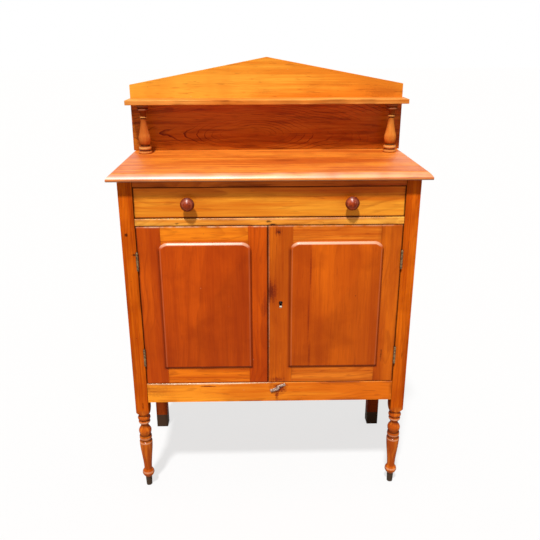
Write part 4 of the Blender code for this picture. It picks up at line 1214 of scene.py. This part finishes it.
def wires(node):
    """Two layers of thin wires over a node's box, one upright and one level."""
    low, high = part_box(node)
    bm = bmesh.new()
    for along, across, layer in ((2, 1, -0.4), (1, 2, 0.4)):
        count = int((high[across] - low[across]) / WIRE_PITCH)
        for index in range(1, count):
            start = Vector(((low.x + high.x) / 2 + layer * WIRE, 0, 0))
            start[across] = low[across] + index * (high[across] - low[across]) / count
            start[along] = low[along]
            end = start.copy()
            end[along] = high[along]
            thick, wide = Vector((WIRE / 2, 0, 0)), Vector((0, 0, 0))
            wide[across] = WIRE / 2
            rim = (thick, wide, -thick, -wide)
            add_loft(bm, [[point + offset for offset in rim] for point in (start, end)])
    return bm


def evenly(start, end, inset, count):
    return [start + inset + index * (end - start - 2 * inset) / (count - 1) for index in range(count)]


def build_gauze(side, sign, wire_finish, nail_finish):
    """The wire gauze in a side, the beads that hold it, and their nails."""
    node = "gauze_" + side
    add_piece(node + "_wires", wires(node), "case", "gauze", wire_finish, node)
    low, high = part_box(node)
    start_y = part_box("front_post_" + side)[1].y + SEAM
    end_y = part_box("back_post_" + side)[0].y - SEAM
    start_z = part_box("cupboard_floor")[1].z + SEAM
    end_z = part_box("side_top_board_" + side)[0].z - SEAM
    inside = max(abs(low.x), abs(high.x)) + SEAM
    near, far = sorted((sign * inside, sign * (inside + BEAD)))
    bm = bmesh.new()
    for lower, upper in (
        ((start_y, start_z), (start_y + BEAD, end_z)),
        ((end_y - BEAD, start_z), (end_y, end_z)),
        ((start_y + BEAD, start_z), (end_y - BEAD, start_z + BEAD)),
        ((start_y + BEAD, end_z - BEAD), (end_y - BEAD, end_z)),
    ):
        add_box(bm, (near, *lower), (far, *upper), BEAD_ROUND, 5)
    box = (Vector((near, start_y, start_z)), Vector((far, end_y, end_z)))
    finish = wood(node + "_bead", "XYZ", AMBER, box, figure=0.2, grime=0.3)
    add_piece(node + "_beads", bm, "case", "rail_pine", finish)

    columns = (start_y + BEAD / 2, end_y - BEAD / 2)
    rows = (start_z + BEAD / 2, end_z - BEAD / 2)
    places = [(y, z) for z in evenly(start_z, end_z, BEAD_NAIL_INSETS[1], 5) for y in columns]
    places += [(y, z) for y in evenly(start_y, end_y, BEAD_NAIL_INSETS[0], 3) for z in rows]
    face_x = sign * (inside + BEAD - BEAD_NAIL_SINK)
    bm = bmesh.new()
    for place in places:
        lathe(bm, BEAD_NAIL, (face_x, *place), FACE_SIDE[sign], 12)
    add_piece(node + "_nails", bm, "case", "iron", nail_finish)


def build_back_nails(finish):
    bm = bmesh.new()
    for name in ("lower", "middle", "upper"):
        low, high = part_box("back_board_" + name)
        for x in (low.x + BACK_NAIL_INSET, high.x - BACK_NAIL_INSET):
            for part in (0.14, 0.5, 0.86):
                place = (x, high.y - BACK_NAIL[-1][1], low.z + part * (high.z - low.z))
                lathe(bm, BACK_NAIL, place, FACE_BACK, 14)
    add_piece("back_board_nails", bm, "case", "iron", finish)


def build_keyhole(finish):
    """The pale metal tongue of the lock, seen in the lower part of the keyhole, and the lock's screws.
    The tongue's paleness is partly a painted highlight of the hole's lit lower edge.
    """
    low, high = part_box("lock_case")
    face = Vector((0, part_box("right_door_meeting_stile")[0].y, 0))
    bm = bmesh.new()
    # Pale, partly as a painted highlight of the keyhole's lit lower edge
    add_box(bm, *(face + Vector(corner) for corner in KEYHOLE_TONGUE), TONGUE_ROUND)
    add_piece("keyhole_tongue", bm, "right_door", "iron", finish)
    bm = bmesh.new()
    for x in (low.x + 0.008, high.x - 0.006):
        for z in (low.z + 0.006, high.z - 0.026):
            half_moons(bm, (x, high.y, z), FACE_BACK, *LOCK_SCREW)
    add_piece("lock_screws", bm, "right_door", "iron", finish)


def dress_metal():
    brass = metal("aged_brass", srgb(150, 120, 84), srgb(90, 70, 50), 0.38, 0.9)
    iron = metal("aged_iron", srgb(222, 190, 170), srgb(118, 88, 74), 0.38, 0.7)
    dark_iron = metal("dark_iron", srgb(110, 98, 92), srgb(58, 50, 46), 0.45, 0.85)
    bright = metal("pale_steel", srgb(226, 210, 190), srgb(170, 150, 130), 0.35, 0.6)
    zinc = metal("galvanised_wire", srgb(150, 150, 146), srgb(100, 100, 98), 0.45, 0.9)
    for node, slot in SLOT_OF.items():
        if slot == "brass" and node.endswith("_pin"):
            dress(node, brass, LEAF_ARRIS)
        elif slot == "iron" and node.startswith("lock"):
            dress(node, dark_iron, LOCK_ARRIS)
    for side in SIDES:
        for level in LEVELS:
            for leaf in ("case", "door"):
                build_hinge_leaf(brass, side, level, leaf)
    build_button(iron)
    for side, sign in SIDES.items():
        build_gauze(side, sign, zinc, dark_iron)
    build_back_nails(dark_iron)
    build_keyhole(bright)


def direction(azimuth, elevation):
    """A unit vector, by its bearing from +Y towards +X and its height over the floor."""
    level = math.cos(elevation)
    return Vector((math.sin(azimuth) * level, math.cos(azimuth) * level, math.sin(elevation)))


def build_camera():
    forward = direction(CAMERA_YAW, -CAMERA_PITCH)
    level = Vector((math.cos(CAMERA_YAW), -math.sin(CAMERA_YAW), 0))
    right = math.cos(CAMERA_ROLL) * level + math.sin(CAMERA_ROLL) * level.cross(forward)
    turn = Matrix((right, right.cross(forward), -forward)).transposed()
    data = bpy.data.cameras.new("camera")
    data.sensor_width = SENSOR
    data.lens = SENSOR * FOCAL_PIXELS / PICTURE
    data.shift_x = (PICTURE / 2 - PRINCIPAL_POINT[0]) / PICTURE
    data.shift_y = (PRINCIPAL_POINT[1] - PICTURE / 2) / PICTURE
    camera = new_object("camera", data)
    camera.matrix_world = Matrix.Translation(CAMERA_PLACE) @ turn.to_4x4()
    bpy.context.scene.camera = camera


def build_studio():
    """A pale sky, a sun, and a floor that glows where it is seen but lights the piece like a dull one."""
    scene = bpy.context.scene
    scene.view_settings.view_transform = "Standard"
    scene.world = bpy.data.worlds.new("pale_studio")
    sky = Paint(scene.world, "Background")
    seen = sky.seen_directly()
    sky.set(Color=sky.mix(seen, SKY_TINT, SKY_SHOWN), Strength=seen.spread(0.0, 1.0, SKY_LEVEL, 1.0))

    lamp = bpy.data.lights.new("key", "SUN")
    lamp.energy = KEY_STRENGTH
    lamp.angle = KEY_SOFTNESS
    key = new_object("key", lamp)
    key.rotation_mode = "QUATERNION"
    key.rotation_quaternion = direction(KEY_AZIMUTH, KEY_ELEVATION).to_track_quat("Z", "Y")

    bm = bmesh.new()
    bmesh.ops.create_grid(bm, x_segments=1, y_segments=1, size=FLOOR_REACH)
    floor = new_object("floor", finished(bm, "floor"))
    ground = Paint(bpy.data.materials.new("pale_floor"))
    seen = ground.seen_directly()
    ground.set(
        Base_Color=ground.mix(seen, FLOOR_BOUNCE, FLOOR_SHOWN),
        Roughness=FLOOR_ROUGHNESS,
        Specular_IOR_Level=0.0,
    )
    lit = Value(ground, ground.shader.outputs[0])
    glow = Value(ground, ground.new("Emission").outputs[0])
    blend = ground.new("MixShader")
    shown = ground.value_of(blend, {0: seen * FLOOR_GLOW, 1: lit, 2: glow})
    ground.put(ground.nodes["Material Output"], {"Surface": shown})
    floor.data.materials.append(ground.owner)


build_camera()
build_studio()
dress_boards()
dress_metal()
for build in (build_front_post, build_column, build_knob):
    for side in SIDES:
        build(side)
build_slab()
for side in SIDES:
    build_panel(side)
